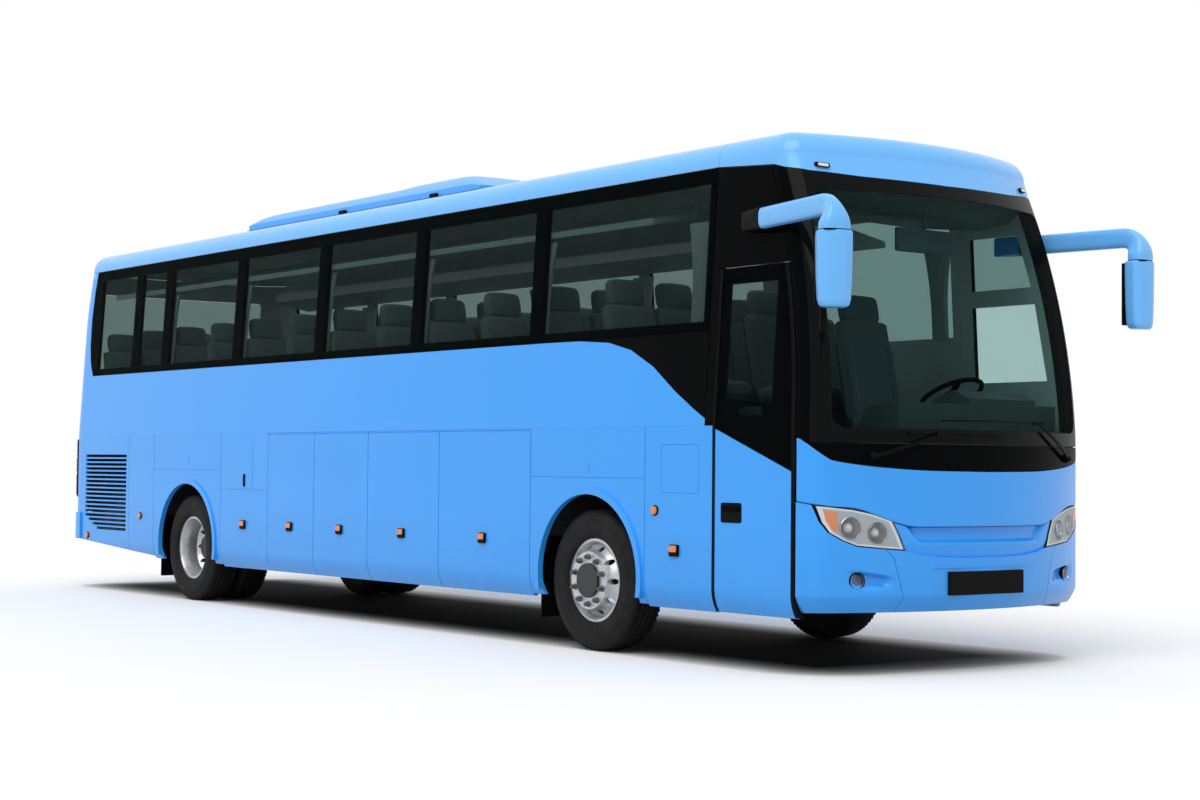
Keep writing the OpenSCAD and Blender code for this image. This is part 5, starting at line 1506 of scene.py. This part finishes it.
@dataclass
class SideShell:
    """One long side: wall, panes, lower panels, luggage doors, markers and small fittings."""

    side: Side
    sill: float = 2.225
    marker_half: Point2 = (0.047, 0.040)
    marker_z: float = 0.764

    def build(self) -> None:
        """Builds the side's pieces."""
        word = self.side.word
        dress_node(f"side_wall_{word}", BLUE, 0.003, 40.0, (BLACK, LINING), self.wall_face)
        glass = SIDE_GLASS if self.side is Side.RIGHT else CAB_GLASS
        dress_node(f"side_glass_{word}", glass, 0.001, 40.0, (BLACK,), self.pane_face)
        dress_node(f"skirt_{word}", BLUE, 0.004, 40.0)
        for i in range(1, 5):
            node = f"bay_door_{word}_{i}"
            dress_node(node, BLUE, 0.004, 40.0)
            low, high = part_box(node)
            self.marker((low.x + high.x) / 2, self.marker_z, node)
        self.fixed_markers()
        self.slats()
        self.fittings()

    def wall_face(self, middle: Vector, normal: Vector) -> int:
        """Blue outside, black behind the glass, lining inside."""
        depth = FORM.half_at(middle.z) - abs(middle.y)
        outward = normal.y * self.side.value
        if depth < 0.003:
            return 0
        if outward < -0.5:
            return 2
        return 1 if outward > 0.5 or middle.z > FORM.waist + 0.05 else 0

    def pane_face(self, middle: Vector, normal: Vector) -> int:
        """Clear panes, apart from the black one in the sweep under the front window."""
        return 1 if middle.z < self.sill and middle.x < FORM.band_front else 0

    def flat(self, x: float, z: float, off: float) -> Vector:
        """A point on this side."""
        return FORM.at_side(self.side, x, z, off)

    def on_wall(self, disc: Shape, x: float, z: float) -> Shape:
        """A disc at a place on this side, facing outwards."""
        flip = Matrix.Scale(self.side.value, 4, Vector((0, 1, 0)))
        return placed(disc, Matrix.Translation(self.flat(x, z, 0.0)) @ flip)

    def marker(self, x: float, z: float, node: str | None) -> None:
        """Amber side lamp in a black housing, on a door or on a fixed panel."""
        body = body_of_node(node) if node else BODY
        tag = f"{self.side.word}_{round((x + 7) * 100)}"
        a, b = self.marker_half
        shell = rounded_box(x - a, x + a, z - b, z + b, 0.012)
        add_piece(f"marker_case_{tag}", patch(shell, self.flat, 0.016, -0.001), FRAME_BLACK, body,
                  edge=0.004)
        lens = rounded_box(x - a * 0.78, x + a * 0.78, z - b * 0.25, z + b * 0.86, 0.010)
        add_piece(f"marker_lens_{tag}", patch(lens, self.flat, 0.024, 0.008), AMBER, body, edge=0.005)

    def fixed_markers(self) -> None:
        """Square and round amber lamps on the fixed panels."""
        front, rear = joint_at("spin_front_left").x, joint_at("spin_rear_left").x
        for x, z in ((rear + 1.175, 0.757), (front + 0.988, 0.754)):
            self.marker(x, z, None)
        cases, lenses = [], []
        for x, z in ((FORM.side_rear + 0.165, 0.552), (rear - 1.040, 0.785), (front + 0.773, 1.021)):
            for store, radius, depth, start in ((cases, 0.036, 0.010, -0.001), (lenses, 0.029, 0.018, 0.004)):
                store.append(self.on_wall(disc_y(radius, depth, Vector((0, start, 0)), 28, 0.25), x, z))
        add_piece(f"round_marker_cases_{self.side.word}", joined(cases), FRAME_BLACK)
        add_piece(f"round_marker_lenses_{self.side.word}", joined(lenses), AMBER,
                  stands_for=["markers"], edge=0.002)

    def slats(self) -> None:
        """Slanting blades behind the slots of the engine bay's side grille."""
        x0, x1 = FORM.side_rear + 0.07, joint_at("spin_rear_left").x - 1.37
        y = self.side.value * (FORM.half - 0.024)
        tilt = Matrix.Rotation(self.side.value * math.radians(35), 4, "X")
        blade = placed(padded_box(Vector(((x1 - x0) / 2, 0.022, 0.0018)), 0.001, 0.0, 1), tilt)
        blades = ROW.make(f"grille_blades_{self.side.word}", blade, 18, (0, 0, 0.044), ((x0 + x1) / 2, y, 0.640),
                          FRAME_BLACK)
        settle(blades, [FRAME_BLACK], BODY)

    def fittings(self) -> None:
        """Locker latch with its panel, and round locks on the arch flaps."""
        front, rear = joint_at("spin_front_left").x, joint_at("spin_rear_left").x
        x = rear + 1.190
        ridge = rounded_box(x - 0.150, x + 0.150, 1.092, 1.490, 0.03)
        add_piece(f"locker_flap_{self.side.word}", patch(ridge, self.flat, 0.003, -0.002, 0.05), BLUE, edge=0.002)
        latch = rounded_box(x - 0.022, x + 0.022, 1.105, 1.223, 0.02)
        add_piece(f"locker_latch_{self.side.word}", patch(latch, self.flat, 0.008, 0.001), FRAME_BLACK,
                  edge=0.003)
        lock = disc_y(0.042, 0.006, Vector((0, -0.002, 0)), 32, 0.3)
        locks = [self.on_wall(lock, *at) for at in ((rear + 0.001, 1.346), (front - 0.024, 1.313))]
        add_piece(f"round_locks_{self.side.word}", joined(locks), BLUE, edge=0.001)


@dataclass
class EntryDoor:
    """Entry door: leaf, seals, handle and swing arms."""

    low: float = 0.365
    top: float = 2.645
    gap: float = 0.007
    lip: float = 0.034
    handle: tuple = (4.737, 4.941, 0.957, 1.088)

    def build(self) -> None:
        """Builds the door."""
        dress_node("door_leaf", BLUE, 0.003, 40.0, (BLACK, FRAME_BLACK), self.leaf_face)
        finish_node("door_glass", SIDE_GLASS)
        finish_node("door_arm", STEEL)
        self.seals()
        self.pull()

    def leaf_face(self, middle: Vector, normal: Vector) -> int:
        """Blue below the slanting line, black above it and inside."""
        depth = FORM.side_y(middle.z) - abs(middle.y)
        if normal.y > 0.5 or depth > 0.012:
            return 2
        return 1 if depth > 0.004 else 0

    def flat(self, x: float, z: float, off: float) -> Vector:
        """A point on the door's side."""
        return FORM.at_side(Side.RIGHT, x, z, off)

    def seals(self) -> None:
        """Black rubber lips along the leaf's upright edges."""
        zs = spread(self.low + 0.004, self.top - self.gap - 0.004, 16)
        edges = [(FORM.jamb(z) - self.gap, z) for z in zs]
        front = [(x - self.lip, z) for x, z in edges] + [(x + 0.003, z) for x, z in reversed(edges)]
        back = FORM.door_rear + self.lip * 0.65
        rear = [(FORM.door_rear - 0.003, zs[0]), (back, zs[0]), (back, zs[-1]), (FORM.door_rear - 0.003, zs[-1])]
        shapes = [patch(line, self.flat, 0.004, -0.038, 0.03) for line in (front, rear)]
        add_piece("door_seals", joined(shapes), SEAL, "door_leaf", edge=0.0015)

    def pull(self) -> None:
        """Sunk black handle plate with a bar across it."""
        x0, x1, z0, z1 = self.handle
        plate = rounded_box(x0, x1, z0, z1, 0.018)
        add_piece("door_handle_plate", patch(plate, self.flat, 0.005, -0.002), FRAME_BLACK, "door_leaf",
                  edge=0.002)
        bar = rounded_box(x0 + 0.02, x1 - 0.02, z0 + 0.072, z1 - 0.022, 0.012)
        add_piece("door_handle_bar", patch(bar, self.flat, 0.014, 0.003), BLACK, "door_leaf", edge=0.004)


@dataclass
class Mirrors:
    """Horn-shaped mirrors on both sides."""

    base_z: float = 2.930
    base_x: float = 5.020
    tip_x: float = 6.095
    bend: float = 0.130
    neck: float = 0.034
    arm: Point2 = (0.042, 0.069)
    head: tuple = (0.070, 0.1125, 0.470)
    turns: tuple = ((Side.RIGHT, 13.0, 25.0), (Side.LEFT, 9.0, 0.0))

    def build(self) -> None:
        """Builds both mirrors, the driver's one turned less."""
        for side, sweep, toe in self.turns:
            self.unit(side, math.radians(sweep), math.radians(toe))

    def unit(self, side: Side, sweep: float, toe: float) -> None:
        """One mirror: foot, black on the right, curved arm that widens into the head, head and glass."""
        s = side.value
        start = Vector((self.base_x, s * (FORM.half_at(self.base_z) + 0.048), self.base_z))
        ahead = Vector((math.cos(sweep), s * math.sin(sweep), 0))
        down = Vector((0, 0, -1))
        tip = 0.025 * math.cos(toe) + 0.0675 * math.sin(toe) + 0.045
        run = (self.tip_x - self.base_x - tip) / math.cos(sweep) - self.bend
        corner = start + ahead * run
        bend = [corner + ahead * self.bend * math.sin(t) + down * self.bend * (1 - math.cos(t))
                for t in spread(0, math.pi / 2, 14)]
        top = bend[-1] + down * self.neck
        path = [start + ahead * run * f for f in spread(0.12, 0.97, 8)] + bend + [top]
        side_way = ahead.cross(down)
        a, b = self.arm

        def section(f: float) -> Point2:
            """Half sizes of the arm's section at a share of its length."""
            k = max(0.0, (f - 0.55) / 0.45)
            return a + (0.098 - a) * k * k * (3 - 2 * k), b - 0.003 * k
        arm = swept(path, section, side_way, 3.2, 32)
        add_piece(f"mirror_arm_{side.word}", arm, LIT_BLUE, stands_for=[f"mirror_{side.word}"], edge=0.004)
        ring = swept([top + down * d for d in (-0.004, 0.010)], lambda f: (0.094, 0.062), side_way, 3.2, 32)
        add_piece(f"mirror_seam_{side.word}", ring, SEAL)
        foot_path = [start + ahead * run * f for f in spread(-0.13, 0.13, 5)]
        foot = swept(foot_path, lambda f: (0.046, 0.075 - 0.008 * (1 - f)), side_way, 4.0, 28)
        finish, slot = (FRAME_BLACK, "black_trim") if side is Side.RIGHT else (BLUE, "body_blue")
        add_piece(f"mirror_foot_{side.word}", foot, finish, edge=0.006)
        pad = padded_box(Vector((0.105, 0.036, 0.068)), 0.014)
        seat = Matrix.Translation(start + Vector((-0.02, -s * 0.040, 0)))
        add_piece(f"mirror_pad_{side.word}", placed(pad, seat), finish)
        self.head_piece(side, Matrix.Translation(top + down * 0.006) @ Matrix.Rotation(s * toe, 4, "Z"))

    def head_piece(self, side: Side, place: Matrix) -> None:
        """Mirror head that tapers downwards, with its glass on the rear face and a bar under it."""
        depth, width, tall = self.head
        sections = ((0.0, 0.93), (0.010, 0.985), (0.06, 1.0), (0.28, 0.965), (0.42, 0.90), (0.455, 0.80), (0.468, 0.62))
        sides, power = 48, 4.0
        verts: list[Vector] = []
        for drop, size in sections:
            for k in range(sides):
                a, b = squarish(k, sides, power)
                a, b = a * depth * size, b * width * size
                a *= 1.0 if a < 0 else 1.0 - 0.35 * (b / width) ** 2
                verts.append(place @ Vector((a, b, -drop)))
        add_piece(f"mirror_head_{side.word}", (verts, tube_faces(len(sections), sides)), LIT_BLUE, angle=60.0)
        rear = -tall * 0.48
        for name, half, at, finish in (
                ("bezel", (0.010, width * 0.90, tall * 0.455), (-depth - 0.001, 0, rear), FRAME_BLACK),
                ("glass", (0.004, width * 0.80, tall * 0.410), (-depth - 0.009, 0, rear), MIRROR),
                ("bar", (0.012, 0.020, 0.130), (-depth + 0.020, side.value * 0.055, -0.480), FRAME_BLACK)):
            if name == "bar" and side is Side.LEFT:
                continue
            box = placed(padded_box(Vector(half), 0.003), place @ Matrix.Translation(at))
            add_piece(f"mirror_{name}_{side.word}", box, finish)


@dataclass
class Wipers:
    """Two wipers parked low on the windscreen."""

    lift: float = 0.030
    arms: tuple = (
        ("right", (-0.897, 1.400), (-0.420, 1.545), (-0.655, 0.130), 1.545),
        ("left", (0.971, 1.400), (0.520, 1.630), (-0.400, 0.640), 1.630),
    )

    def build(self) -> None:
        """Builds both wipers."""
        for tag, pivot, tip, span, height in self.arms:
            ends = [Vector(pivot), Vector(tip)]
            path = [FORM.at_front(*ends[0].lerp(ends[1], f), self.lift + 0.008 * math.sin(math.pi * f))
                    for f in spread(0, 1, 10)]
            arm = swept(path, lambda f: (0.016 - 0.008 * f, 0.006), Vector((0, 0, 1)), 4.0, 12)
            cap = Headlamps.dome(FORM.at_front(*pivot, 0.0), Vector((1, 0, 0)), 0.030, 0.046)
            line = [FORM.at_front(y, height + 0.006 * math.sin(math.pi * (y - span[0]) / (span[1] - span[0])), 0.017)
                    for y in spread(*span, 24)]
            bridge = swept(line, lambda f: (0.007, 0.009), Vector((0, 0, 1)), 3.0, 10)
            lip = swept([p - Vector((0.011, 0, 0)) for p in line], lambda f: (0.0028, 0.005), Vector((0, 0, 1)), 4.0, 8)
            clip = swept([path[-1] + Vector((0.0, d, 0)) for d in spread(-0.05, 0.05, 4)], lambda f: (0.013, 0.012),
                         Vector((0, 0, 1)), 4.0, 12)
            add_piece(f"wiper_{tag}", joined([arm, cap, bridge, lip, clip]), FRAME_BLACK,
                      stands_for=["wipers"])


@dataclass
class Wheel:
    """One wheel position: rims with nuts and the tyres on them."""

    spin: str
    side: Side
    front: bool
    tyre_planes: tuple[float, ...]
    nut_plane: float
    nut_depth: float
    nut_count: int = 10
    nut_circle: float = 0.168
    lug_count: int = 76

    def build(self) -> None:
        """Builds rims, nuts and tyres."""
        word = self.side.word
        body = f"wheel_front_{word}" if self.front else f"wheels_rear_{word}"
        rim = f"rim_front_{word}" if self.front else f"rims_rear_{word}"
        tyre = f"tyre_front_{word}" if self.front else f"tyres_rear_{word}"
        axle = joint_at(self.spin)
        place = "front" if self.front else "rear"
        silver = Metal(f"wheel_silver_{place}", srgb(196, 199, 202), 0.34, 0.75, 0.30, (axle.x, axle.z),
                       0.1235 if self.front else 0.1335)
        dress_node(rim, silver, 0.002, 30.0)
        self.nuts(body, axle)
        self.tyres(body, tyre, axle)

    def nuts(self, body: str, axle: Vector) -> None:
        """Ring of six-sided nuts with stud ends."""
        s = self.side.value
        turn = math.pi / self.nut_count
        start = Vector((self.nut_circle * math.cos(turn), 0, self.nut_circle * math.sin(turn)))
        flange = disc_y(0.023, 0.006, start, 20, 0.2)
        nut = disc_y(0.0185, self.nut_depth, start, 6, 0.12)
        stud = disc_y(0.010, self.nut_depth + 0.010, start, 12, 0.2)
        one = placed(joined([flange, nut, stud]), Matrix.Scale(s, 4, Vector((0, 1, 0))))
        ring = RING.make(f"wheel_nuts_{body}", one, self.nut_count, (0, 2 * turn, 0),
                         (axle.x, s * self.nut_plane, axle.z), NUT_STEEL)
        settle(ring, [NUT_STEEL], body)

    def tyres(self, body: str, node: str, axle: Vector) -> None:
        """Tyres with sidewall ribs, tread grooves and shoulder lugs."""
        half = ((0.286, 0.1045), (0.299, 0.1118), (0.306, 0.1260), (0.316, 0.1345), (0.330, 0.1385), (0.334, 0.1415),
                (0.340, 0.1415), (0.344, 0.1425), (0.376, 0.1468), (0.405, 0.1462), (0.409, 0.1480), (0.415, 0.1478),
                (0.419, 0.1445), (0.445, 0.1395), (0.470, 0.1300), (0.485, 0.1220), (0.492, 0.1140), (0.499, 0.1080),
                (0.5015, 0.0780), (0.490, 0.0770), (0.490, 0.0670), (0.5030, 0.0660), (0.5045, 0.0320),
                (0.492, 0.0310), (0.492, 0.0210), (0.5048, 0.0200))
        profile = [*half, *[(r, -y) for r, y in reversed(half)]]
        shapes = []
        for plane in self.tyre_planes:
            shapes.append(lathe(profile, Vector((axle.x, self.side.value * plane, axle.z)), 120))
        add_piece(node + "_skin", joined(shapes), TYRE, body, [node], angle=40.0)
        length = [Vector((0, y, 0)) for y in (-0.017, 0.017)]
        lug = swept(length, lambda f: (0.0095, 0.0085), Vector((1, 0, 0)), 6.0, 8)
        for i, plane in enumerate(self.tyre_planes):
            for edge in (-1, 1):
                lean = Matrix.Translation((0.4815, edge * 0.1085, 0)) @ Matrix.Rotation(edge * -0.55, 4, "Z")
                name = f"tread_lugs_{body}_{i}_{'out' if edge > 0 else 'in'}"
                lugs = RING.make(name, placed(lug, lean), self.lug_count, (0, 2 * math.pi / self.lug_count, 0),
                                 (axle.x, self.side.value * plane, axle.z), TYRE)
                settle(lugs, [TYRE], body)


@dataclass
class Seating:
    """Rows of upholstered seats, the rear bench and the driver's seat."""

    deck: float = 1.450
    cab: float = 1.100
    pitch: float = 0.790
    rows: int = 11
    width: float = 0.445
    row_y: float = 0.680
    bench_ys: tuple = (-0.906, -0.453, 0.0, 0.453, 0.906)
    driver_lift: float = 0.120
    driver_size: Point2 = (0.500, 0.150)

    def seat(self, width: float, tall: float = 0.0) -> Shape:
        """Padding of one seat: cushion, back and headrest, from the seat's back edge and the floor.

        Args:
            width: Width of the seat.
            tall: How much taller than the common one its back is.

        Returns:
            Points and faces.
        """
        lean = Matrix.Rotation(math.radians(-12.0), 4, "Y")
        up = Matrix.Translation((-0.2 * tall, 0, tall))
        cushion = padded_box(Vector((0.232, width / 2 - 0.004, 0.052)), 0.036, 0.012, 4)
        back = padded_box(Vector((0.045, width / 2 - 0.006, 0.300 + tall / 2)), 0.036, 0.012, 4)
        roll = padded_box(Vector((0.052, 0.040, 0.270)), 0.034, 0.0, 3)
        head = padded_box(Vector((0.046, width / 2 - 0.065, 0.100)), 0.040, 0.010, 4)
        rolls = [placed(roll, Matrix.Translation((-0.050, s * (width / 2 - 0.046), 0.740)) @ lean) for s in (-1, 1)]
        return joined([placed(cushion, Matrix.Translation((0.235, 0, 0.432)) @ Matrix.Rotation(-0.05, 4, "Y")),
                       placed(back, Matrix.Translation((-0.062 - 0.1 * tall, 0, 0.740 + tall / 2)) @ lean),
                       placed(head, up @ Matrix.Translation((-0.150, 0, 1.125)) @ lean), *rolls])

    def frame_shape(self, width: float, tall: float = 0.0) -> Shape:
        """Shell behind the back and the leg under one seat, longer under a taller one."""
        lean = Matrix.Rotation(math.radians(-12.0), 4, "Y")
        shell = padded_box(Vector((0.014, width / 2 - 0.02, 0.300)), 0.012, 0.0, 3)
        pan = padded_box(Vector((0.210, width / 2 - 0.02, 0.012)), 0.010, 0.0, 2)
        leg = padded_box(Vector((0.100 + 0.3 * tall, 0.030 + 0.6 * tall, 0.180)), 0.010, 0.0, 2)
        foot = padded_box(Vector((0.160, width / 2 - 0.03, 0.014)), 0.010, 0.0, 2)
        return joined([placed(shell, Matrix.Translation((-0.118, 0, 0.735)) @ lean),
                       placed(pan, Matrix.Translation((0.235, 0, 0.372))),
                       placed(leg, Matrix.Translation((0.220, 0, 0.190))),
                       placed(foot, Matrix.Translation((0.220, 0, 0.016)))])

    def build(self) -> None:
        """Builds the cabin's seats."""
        row_x = joint_at("spin_front_left").x + 0.655 - 0.560
        for name, make, finish, slot in (("padding", self.seat, UPHOLSTERY, "seat_fabric"),
                                         ("frames", self.frame_shape, DASH, "trim_grey")):
            one = make(self.width)
            places = [s * self.row_y + j * (self.width / 2 + 0.008) for s in (-1, 1) for j in (-1, 1)]
            row = joined([placed(one, Matrix.Translation((0, y, 0))) for y in places])
            rows = ROW.make(f"seat_{name}", row, self.rows, (-self.pitch, 0, 0), (row_x, 0, self.deck), finish)
            settle(rows, [finish], BODY, ["seats"], 60.0)
            bench_x = row_x - self.rows * self.pitch - 0.060
            bench = joined([placed(one, Matrix.Translation((bench_x, y, self.deck))) for y in self.bench_ys])
            add_piece(f"bench_{name}", bench, finish, angle=60.0)
            at = Matrix.Translation((joint_at("spin_front_left").x + 0.960, joint_at("steering_turn").y,
                                     self.cab + self.driver_lift))
            driver = placed(make(*self.driver_size), at)
            add_piece(f"driver_seat_{name}", driver, finish, angle=60.0)


@dataclass
class Curtains:
    """Curtains gathered at the window posts."""

    posts: tuple = (0.190, 2.029, 3.719, 5.310, 6.865, 8.400)
    half: float = 0.150
    low: float = 2.290
    top: float = 2.985
    inset: float = 0.066
    folds: int = 6
    cloth: float = 0.420

    def build(self) -> None:
        """Builds the curtains of both sides."""
        for side in Side:
            for number, back in enumerate(self.posts):
                self.one(side, FORM.band_front - back, number)

    def one(self, side: Side, x: float, number: int) -> None:
        """One curtain, wide at its rail and drawn together below, as a single thin sheet with upright folds."""
        zs = spread(self.low, self.top, 14)
        rows = [self.row(side, x, z) for z in zs]
        mesh = solid_mesh("curtain", [p for row in rows for p in row], grid_faces(len(zs), len(rows[0])), False)
        piece = new_object(f"curtain_{side.word}_{number}", mesh)
        settle(piece, [CURTAIN], BODY, ["curtains"], 70.0)

    def row(self, side: Side, x: float, z: float) -> list[Vector]:
        """One level row of a curtain's points, folded so deep that the cloth keeps its width."""
        share = min(1.0, max(0.0, (z - self.low) / (self.top - self.low) - 0.25) / 0.75)
        half = self.half * (0.5 + 0.5 * share * share)
        steps = self.folds * 12
        xs = spread(-half, half, steps)
        low, high = 0.0, 0.05
        for _ in range(24):
            depth = (low + high) / 2
            ys = [depth * math.cos(2 * math.pi * self.folds * i / steps) for i in range(steps + 1)]
            length = sum(math.hypot(xs[i + 1] - xs[i], ys[i + 1] - ys[i]) for i in range(steps))
            low, high = (depth, high) if length < self.cloth else (low, depth)
        wall = FORM.half_at(z) - self.inset
        return [Vector((x + dx, side.value * (wall + dy), z)) for dx, dy in zip(xs, ys)]


@dataclass
class Cab:
    """Dashboard, steering wheel, racks, floor and running gear."""

    def build(self) -> None:
        """Dresses the cabin's and chassis's nodes."""
        dress_node("dashboard", DASH, 0.025, 30.0)
        dress_node("steering_wheel", FRAME_BLACK, 0.003, 40.0)
        dress_node("luggage_racks", RACK, 0.006, 30.0)
        plain = {"passenger_floor": FLOORING, "underfloor": STEEL, "chassis_frame": STEEL, "engine_block": IRON,
                 "front_axle": STEEL, "rear_axle": STEEL, "knuckle_right": IRON, "knuckle_left": IRON, "tie_rod": IRON,
                 "mud_flaps": SEAL}
        for node, finish in plain.items():
            finish_node(node, finish)
        self.console()

    def console(self) -> None:
        """Panel over the driver that bulges down behind the screen's upper edge, and the inside mirror."""
        us = both(spread(0, 1.3, 12))
        rows = [[FORM.point(End.FRONT, u, z, off) for u in us]
                for z, off in ((3.170, -0.060), (3.060, -0.200), (3.020, -0.420), (3.060, -0.900), (3.180, -1.500))]
        lifted = [[p + Vector((0, 0, 0.020)) for p in row] for row in rows]
        add_piece("cab_ceiling", closed_sheet(lifted, rows), DASH, angle=50.0)
        for name, half, x, finish in (("shell", (0.016, 0.270, 0.080), 5.384, DASH),
                                      ("glass", (0.004, 0.255, 0.068), 5.366, MIRROR)):
            box = placed(padded_box(Vector(half), min(half) * 0.9), Matrix.Translation((x, -0.055, 2.845)))
            add_piece(f"inside_mirror_{name}", box, finish)
        stem = swept([Vector((5.384, -0.055, z)) for z in spread(2.90, 3.05, 3)], lambda f: (0.012, 0.012),
                     Vector((1, 0, 0)), 2.0, 12)
        add_piece("inside_mirror_stem", stem, DASH)


@dataclass
class Studio:
    """Pale floor, soft light and the camera."""

    eye: tuple = (11.8476 + 3.270, -10.1250, 1.3144)
    yaw: float = math.radians(142.9226)
    pitch: float = math.radians(1.8545)
    roll: float = math.radians(0.5062)
    focal_px: float = 2068.586
    image_width: int = 1200
    sensor: float = 36.0
    floor_size: float = 160.0
    dome: float = 0.72
    sun: float = 1.5
    cabin: float = 20.0
    # Box of the painted shadow under the coach: middle and half size along X and along Y.
    under: tuple = ((-0.30, 5.30), (0.14, 0.77))
    fade: float = 0.62

    def build(self) -> None:
        """Builds floor, light and camera."""
        self.floor()
        self.light()
        self.camera()

    def floor(self) -> None:
        """Large pale floor, white where it is seen, with a dark contact shadow painted on it under the coach."""
        s = self.floor_size
        mesh = solid_mesh("floor", [(-s, -s, 0), (s, -s, 0), (s, s, 0), (-s, s, 0)], [(0, 1, 2, 3)], False)
        floor = new_object("floor", mesh)
        material = bpy.data.materials.new("pale_floor")
        sketch = NodeSketch(material)
        rays = sketch.add("ShaderNodeLightPath").outputs
        seen: object = rays["Is Camera Ray"]
        for name in ("Is Glossy Ray", "Is Transmission Ray"):
            seen = sketch.math("MAXIMUM", seen, rays[name])
        # Painted shadow: the floor's colour falls to nearly black inside a box under the coach and fades out round it.
        squares = []
        for axis, (middle, half) in zip("XY", self.under):
            away = sketch.math("ABSOLUTE", sketch.math("SUBTRACT", sketch.part(axis), middle))
            away = sketch.math("MAXIMUM", sketch.math("SUBTRACT", away, half), 0.0)
            squares.append(sketch.math("MULTIPLY", away, away))
        painted_shadow = sketch.remap(sketch.math("SQRT", sketch.math("ADD", *squares)), 0.0, self.fade, 1.0, 0.0)
        painted_shadow = sketch.math("POWER", painted_shadow, 0.6)
        pale = sketch.blend(sketch.noise(0.4, 4.0), (0.955, 0.955, 0.96), (0.985, 0.985, 0.985))
        shown = sketch.blend(painted_shadow, pale, (0.004, 0.004, 0.005))
        tone = sketch.blend(seen, (0.60, 0.60, 0.60), shown)
        sketch.show(sketch.shader(Base_Color=tone, Roughness=0.9, Specular_IOR_Level=0.1))
        mesh.materials.append(material)

    def light(self) -> None:
        """Even white dome, one large soft lamp and a faint strip under the cabin's ceiling."""
        scene = bpy.context.scene
        world = bpy.data.worlds.new("studio")
        world.use_nodes = True
        scene.world = world
        tree = world.node_tree
        tree.nodes.clear()
        out = tree.nodes.new("ShaderNodeOutputWorld")
        path = tree.nodes.new("ShaderNodeLightPath")
        shown, given = (tree.nodes.new("ShaderNodeBackground") for _ in range(2))
        for background, strength in ((shown, 1.0), (given, self.dome)):
            background.inputs["Color"].default_value = (1.0, 1.0, 1.0, 1.0)
            background.inputs["Strength"].default_value = strength
        seen = path.outputs["Is Camera Ray"]
        for name in ("Is Transmission Ray", "Is Glossy Ray"):
            either = tree.nodes.new("ShaderNodeMath")
            either.operation = "MAXIMUM"
            tree.links.new(seen, either.inputs[0])
            tree.links.new(path.outputs[name], either.inputs[1])
            seen = either.outputs[0]
        mix = tree.nodes.new("ShaderNodeMixShader")
        for source, socket in zip((seen, given.outputs[0], shown.outputs[0]), mix.inputs):
            tree.links.new(source, socket)
        tree.links.new(mix.outputs[0], out.inputs["Surface"])
        lamp = bpy.data.lights.new("soft_key", "SUN")
        lamp.energy = self.sun
        lamp.angle = math.radians(50)
        key = bpy.data.objects.new("soft_key", lamp)
        key.rotation_euler = (math.radians(38), 0, math.radians(28))
        scene.collection.objects.link(key)
        strip = bpy.data.lights.new("cabin_fill", "AREA")
        strip.shape, strip.size, strip.size_y, strip.energy = "RECTANGLE", 9.0, 0.8, self.cabin
        fill = bpy.data.objects.new("cabin_fill", strip)
        fill.location = (-0.8, 0.0, 3.28)
        fill.visible_camera = False
        scene.collection.objects.link(fill)
        scene.view_settings.view_transform = "Standard"

    def camera(self) -> None:
        """Camera at the photograph's viewing angle."""
        ahead = Vector((math.cos(self.yaw) * math.cos(self.pitch), math.sin(self.yaw) * math.cos(self.pitch),
                        math.sin(self.pitch)))
        right = Vector((math.sin(self.yaw), -math.cos(self.yaw), 0))
        up = right.cross(ahead)
        c, s = math.cos(self.roll), math.sin(self.roll)
        r, u = right * c + up * s, up * c - right * s
        data = bpy.data.cameras.new("photo_camera")
        data.sensor_fit = "HORIZONTAL"
        data.sensor_width = self.sensor
        data.lens = self.focal_px / self.image_width * self.sensor
        data.clip_end = 500.0
        camera = bpy.data.objects.new("photo_camera", data)
        turn = Matrix((r, u, -ahead)).transposed().to_4x4()
        camera.matrix_world = Matrix.Translation(self.eye) @ turn
        bpy.context.scene.collection.objects.link(camera)
        bpy.context.scene.camera = camera


def wheels() -> list[Wheel]:
    """The four wheel positions."""
    front, rear, twin, disc = 1.090, 1.085, 0.335, 0.1675
    made = []
    for side in Side:
        made.append(Wheel(f"spin_front_{side.word}", side, True, (front,), front + disc, 0.034))
        made.append(Wheel(f"spin_rear_{side.word}", side, False, (rear, rear - twin), rear - twin / 2 + 0.014, 0.038))
    return made


def main() -> None:
    """Builds every sub-assembly in order."""
    logging.basicConfig(level=logging.INFO, format="%(message)s")
    parts = [Studio(), FrontEnd(), Headlamps(), RoofShell(), RearEnd(), SideShell(Side.RIGHT), SideShell(Side.LEFT),
             EntryDoor(), Mirrors(), Wipers(), *wheels(), Seating(), Curtains(), Cab()]
    for part in parts:
        LOG.info("building %s", type(part).__name__)
        part.build()
    bpy.context.view_layer.update()


if __name__ == "__main__":
    main()
